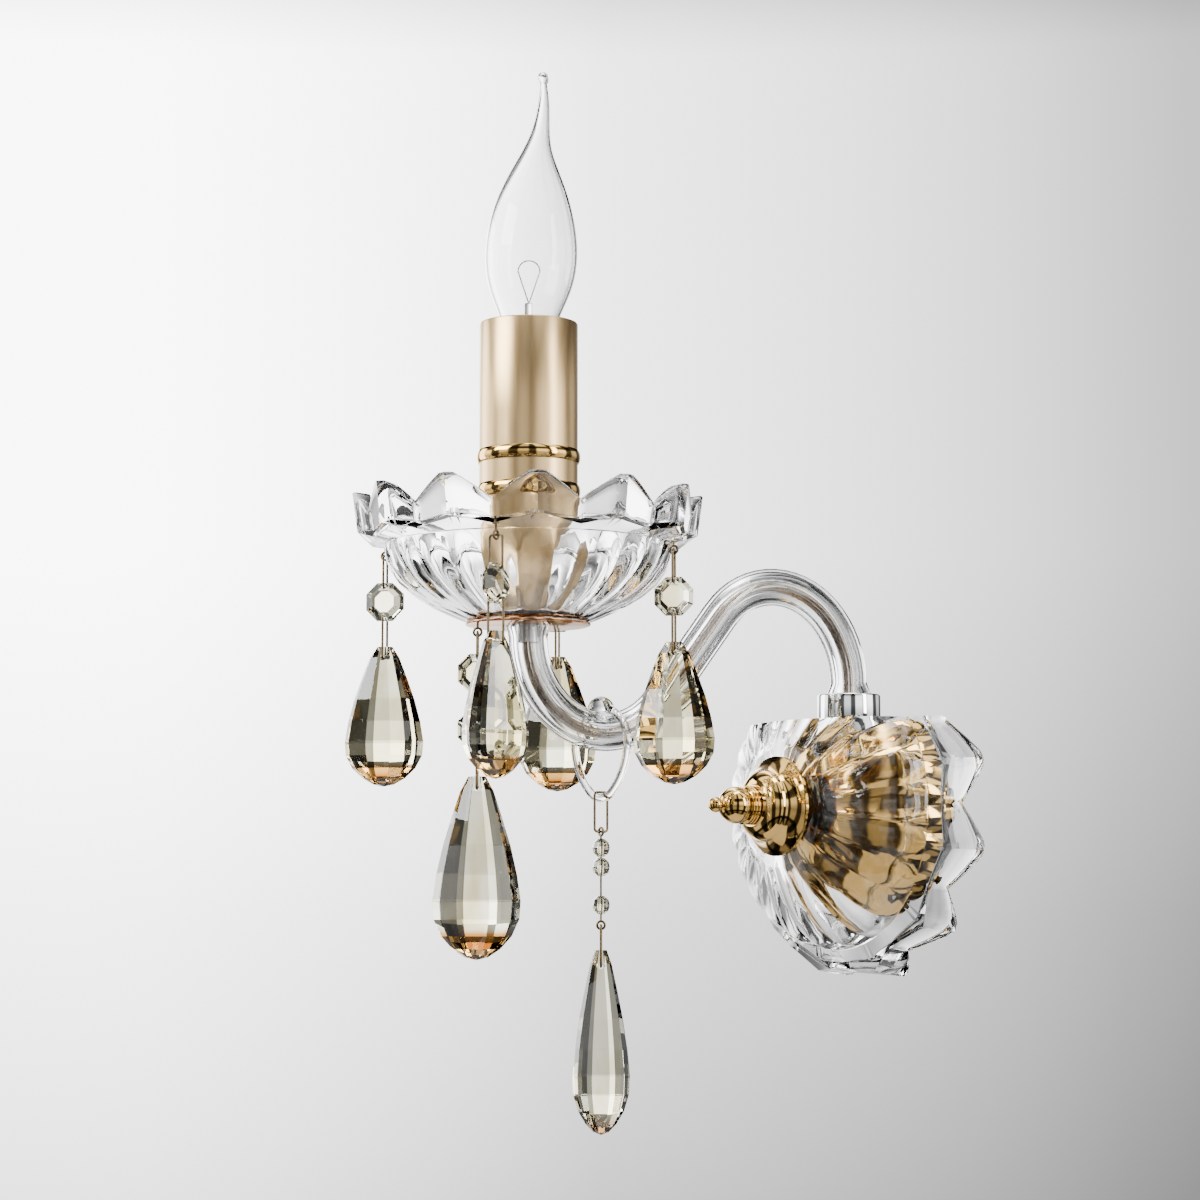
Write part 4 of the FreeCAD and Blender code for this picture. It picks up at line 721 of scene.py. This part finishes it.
def cutDrop(top, length, width, thickness, inset):
    profile = [(0, top)]
    profile += [(share * width / 2, top - down * length) for down, share in dropCut["outline"]]
    turnPiece(profile, origin, steps=dropCut["sides"])
    editAll()
    bpy.ops.transform.resize(value=(1, thickness / width, 1), center_override=origin)
    bpy.ops.mesh.normals_make_consistent(inside=False)
    bpy.ops.object.mode_set(mode="OBJECT")
    stone = bpy.context.object
    startPiece()
    bpy.ops.mesh.primitive_cylinder_add(vertices=16, radius=dropCut["holeRadius"] * mm,
                                        depth=dropCut["drillLength"] * mm,
                                        location=up * (top - inset) * mm,
                                        rotation=(math.radians(90), 0, 0))
    drill = bpy.context.object
    startPiece()
    stone.select_set(True)
    bpy.context.view_layer.objects.active = stone
    shapeWith("BOOLEAN", operation="DIFFERENCE", object=drill, solver="EXACT")
    toss(drill)
    stone.select_set(True)
    bpy.context.view_layer.objects.active = stone
    return stone


plainDrop = cutDrop(bowlStrand["dropTop"], *bowlStrand["drop"])
hooks = []
for name, (around, facing) in strands.items():
    turned = Vector((math.cos(math.radians(around)), math.sin(math.radians(around)), 0))
    place = candleAxis + turned * bowlStrand["radius"] * mm
    hooks.append(copyOf(plainHook, facing - 90, place))
    copyOf(plainLinks, facing - 90, place)
    finishPiece("wire_links_" + name, finishes["antique_wire"],
                ["links_" + name], "strand_" + name, 60)
    copyOf(plainDrop, facing - 90, place)
    finishPiece("cut_drop_" + name, finishes["bowl_drops"],
                ["drop_" + name], "pendant_" + name, 1)
for spare in (plainHook, plainLinks, plainDrop):
    toss(spare)
joinPieces(hooks)
finishPiece("bowl_hook_wires", finishes["antique_wire"], ["bowl_hooks"], smooth=60)

frontStrand = {"place": (0, 185.5), "turn": -35, "eye": 59.5,
               "links": ((59.5, 9.6, 5.6), (39.5, 9.6, 5.6), (19.5, 16.1, 6.6)),
               "dropTop": 7.8, "drop": (65, 31.4, 18, 4.4)}
linkAcross = Vector((math.cos(math.radians(frontStrand["turn"])),
                     math.sin(math.radians(frontStrand["turn"])), 0))
eyeAcross = Vector((-linkAcross.y, linkAcross.x, 0))
frontAxis = spot(*frontStrand["place"], 0)
joinPieces([bendLink(frontAxis, linkAcross, *size) for size in frontStrand["links"]])
finishPiece("wire_links_front", finishes["antique_wire"], ["links_front"],
            "strand_front", 60)
joinPieces([bendEye(frontAxis + up * frontStrand["eye"] * mm, eyeAcross),
            cutShank(frontAxis + up * (frontStrand["eye"] + wire["eye"]) * mm,
                     frontAxis + up * candle["disc"] * mm)])
finishPiece("disc_hook_wire", finishes["antique_wire"], ["disc_hook"], smooth=60)
frontDrop = cutDrop(frontStrand["dropTop"], *frontStrand["drop"])
frontDrop.data.transform(Matrix.Translation(frontAxis) @ Matrix.Rotation(
    math.radians(frontStrand["turn"] - 90), 4, "Z"))
finishPiece("cut_drop_front", finishes["front_drops"], ["drop_front"],
            "pendant_front", 1)

armStrand = {"place": (0, 132), "clip": (3.45, 14.4, 5.6), "low": -44.95, "link": (15, 6.6),
             "beadWire": 0.38, "eyeGap": 0.95, "dropTop": -53.95, "drop": (66.5, 21, 13, 6)}
armAxis = spot(*armStrand["place"], 0)
bendLink(armAxis, forward, *armStrand["clip"])
finishPiece("wire_clip_arm", finishes["antique_wire"], ["arm_clip"],
            "strand_arm", 60)
clipLow = armStrand["clip"][0] - armStrand["clip"][1]
beadWire = [bendEye(armAxis + up * clipLow * mm, right),
            bendEye(armAxis + up * armStrand["low"] * mm, eyeAcross)]
drawTube(armStrand["beadWire"], armAxis + up * (armStrand["low"] + armStrand["eyeGap"]) * mm, up,
         [("go", clipLow - armStrand["low"] - 2 * armStrand["eyeGap"])], sides=12)
fillEnds()
beadWire.append(bpy.context.object)
joinPieces(beadWire)
finishPiece("bead_wire_arm", finishes["antique_wire"], ["bead_wire"],
            "strand_arm", 60)
bendLink(armAxis, linkAcross, armStrand["low"], *armStrand["link"])
finishPiece("wire_link_drop_arm", finishes["antique_wire"], ["arm_drop_link"],
            "strand_arm", 60)
armDrop = cutDrop(armStrand["dropTop"], *armStrand["drop"])
armDrop.data.transform(Matrix.Translation(armAxis) @ Matrix.Rotation(
    math.radians(frontStrand["turn"] - 90), 4, "Z"))
finishPiece("cut_drop_arm", finishes["arm_drops"], ["drop_arm"],
            "pendant_arm", 1)
print("wires and drops done")


# floor, soft studio light and camera

stageFloor = {"size": 1.8, "level": -1.5,  # metres
              "look": {"grain": 3, "tones": ((0.55, 0.55, 0.56), (0.6, 0.6, 0.61)),
                       "roughness": (0.7, 0.9)}}
startPiece()
bpy.ops.mesh.primitive_plane_add(size=stageFloor["size"], location=(0, 0, stageFloor["level"]))
floor = bpy.context.object
floor.name = "studio_floor"
floor.data.materials.append(makeFinish("pale_floor", stageFloor["look"]))

lights = {  # metres and watts
    "key": {"place": (-0.2, -1.5, 0.9), "size": (0.9, 0.7), "power": 34},
    "side": {"place": (1.3, 0.5, 0.5), "size": (0.3, 1.1), "power": 14},
    "left": {"place": (-1.1, -0.6, 0.2), "size": (0.5, 1.0), "power": 12},
    "above": {"place": (0.1, -0.1, 1.4), "size": (0.7, 0.5), "power": 14},
}
target = Vector((0, -0.1, 0.07))
for name, softbox in lights.items():
    bpy.ops.object.light_add(type="AREA", location=softbox["place"])
    light = bpy.context.object
    light.name = "softbox_" + name
    light.data.shape = "RECTANGLE"
    light.data.size, light.data.size_y = softbox["size"]
    light.data.energy = softbox["power"]
    light.rotation_euler = (target - light.location).to_track_quat("-Z", "Y").to_euler()

# pale paper round the set with dark flags between, for crisp edges in the glass
studio = {
    "turn": -145.64, "strength": 9,
    # place round the set (share of a turn) or up it (0 below, 1 above), and its brightness
    "round": ((0, 0.16), (0.01, 0.012), (0.05, 0.012), (0.06, 0.3), (0.125, 0.3), (0.135, 0.012),
              (0.175, 0.012), (0.187, 0.42), (0.252, 0.42), (0.262, 0.012), (0.31, 0.012),
              (0.32, 0.12), (0.37, 0.12), (0.38, 0.01), (0.425, 0.02), (0.47, 0.12),
              (0.5, 0.42), (0.525, 1), (0.56, 0.9), (0.585, 0.12), (0.62, 0.12), (0.63, 0.012),
              (0.685, 0.012), (0.695, 0.38), (0.745, 0.38), (0.755, 0.012), (0.81, 0.012),
              (0.82, 0.2), (0.87, 0.2), (0.88, 0.012), (0.935, 0.012), (0.945, 0.16)),
    "height": ((0, 0.05), (0.19, 0.12), (0.2, 0.01), (0.25, 0.01), (0.26, 0.35), (0.36, 0.4),
               (0.44, 0.26), (0.5, 0.55), (0.56, 1), (0.64, 1), (0.66, 0.1), (0.72, 0.04),
               (0.8, 0.04), (0.82, 0.8), (1, 1)),
}
world = bpy.data.worlds.new("studio")
bpy.context.scene.world = world
world.use_nodes = True
nodes, links = world.node_tree.nodes, world.node_tree.links
backdrop = nodes["Background"]
direction = nodes.new("ShaderNodeTexCoord")
studioTurn = nodes.new("ShaderNodeMapping")
studioTurn.inputs["Rotation"].default_value = (0, 0, math.radians(studio["turn"]))
links.new(direction.outputs["Generated"], studioTurn.inputs["Vector"])


def shadeRamp(stops, source):
    ramp = nodes.new("ShaderNodeValToRGB")
    places = ramp.color_ramp.elements
    while len(places) < len(stops):
        places.new(0.5)
    for element, (place, tone) in zip(places, stops):
        element.position = place
        element.color = (tone, tone, tone, 1)
    links.new(source, ramp.inputs["Fac"])
    return ramp.outputs["Color"]


sweep = nodes.new("ShaderNodeTexGradient")
sweep.gradient_type = "RADIAL"
links.new(studioTurn.outputs["Vector"], sweep.inputs["Vector"])
split = nodes.new("ShaderNodeSeparateXYZ")
links.new(direction.outputs["Generated"], split.inputs["Vector"])
level = nodes.new("ShaderNodeMapRange")
level.inputs["From Min"].default_value = -1
links.new(split.outputs["Z"], level.inputs["Value"])
shades = nodes.new("ShaderNodeMix")
shades.data_type = "RGBA"
shades.blend_type = "MULTIPLY"
shades.inputs["Factor"].default_value = 1
links.new(shadeRamp(studio["round"], sweep.outputs["Fac"]), shades.inputs[6])
links.new(shadeRamp(studio["height"], level.outputs["Result"]), shades.inputs[7])
links.new(shades.outputs[2], backdrop.inputs["Color"])
backdrop.inputs["Strength"].default_value = studio["strength"]

view = {"place": (0.90777, -0.75307, -0.04149), "azimuth": 55.639, "pitch": 6.006, "lens": 90}
azimuth, pitch = math.radians(view["azimuth"]), math.radians(view["pitch"])
heading = Vector((-math.sin(azimuth) * math.cos(pitch), math.cos(azimuth) * math.cos(pitch),
                  math.sin(pitch)))
bpy.ops.object.camera_add(location=view["place"],
                          rotation=heading.to_track_quat("-Z", "Y").to_euler())
camera = bpy.context.object
camera.name = "photo_camera"
camera.data.lens = view["lens"]
camera.data.sensor_width = 36
bpy.context.scene.camera = camera
print("light and camera done")
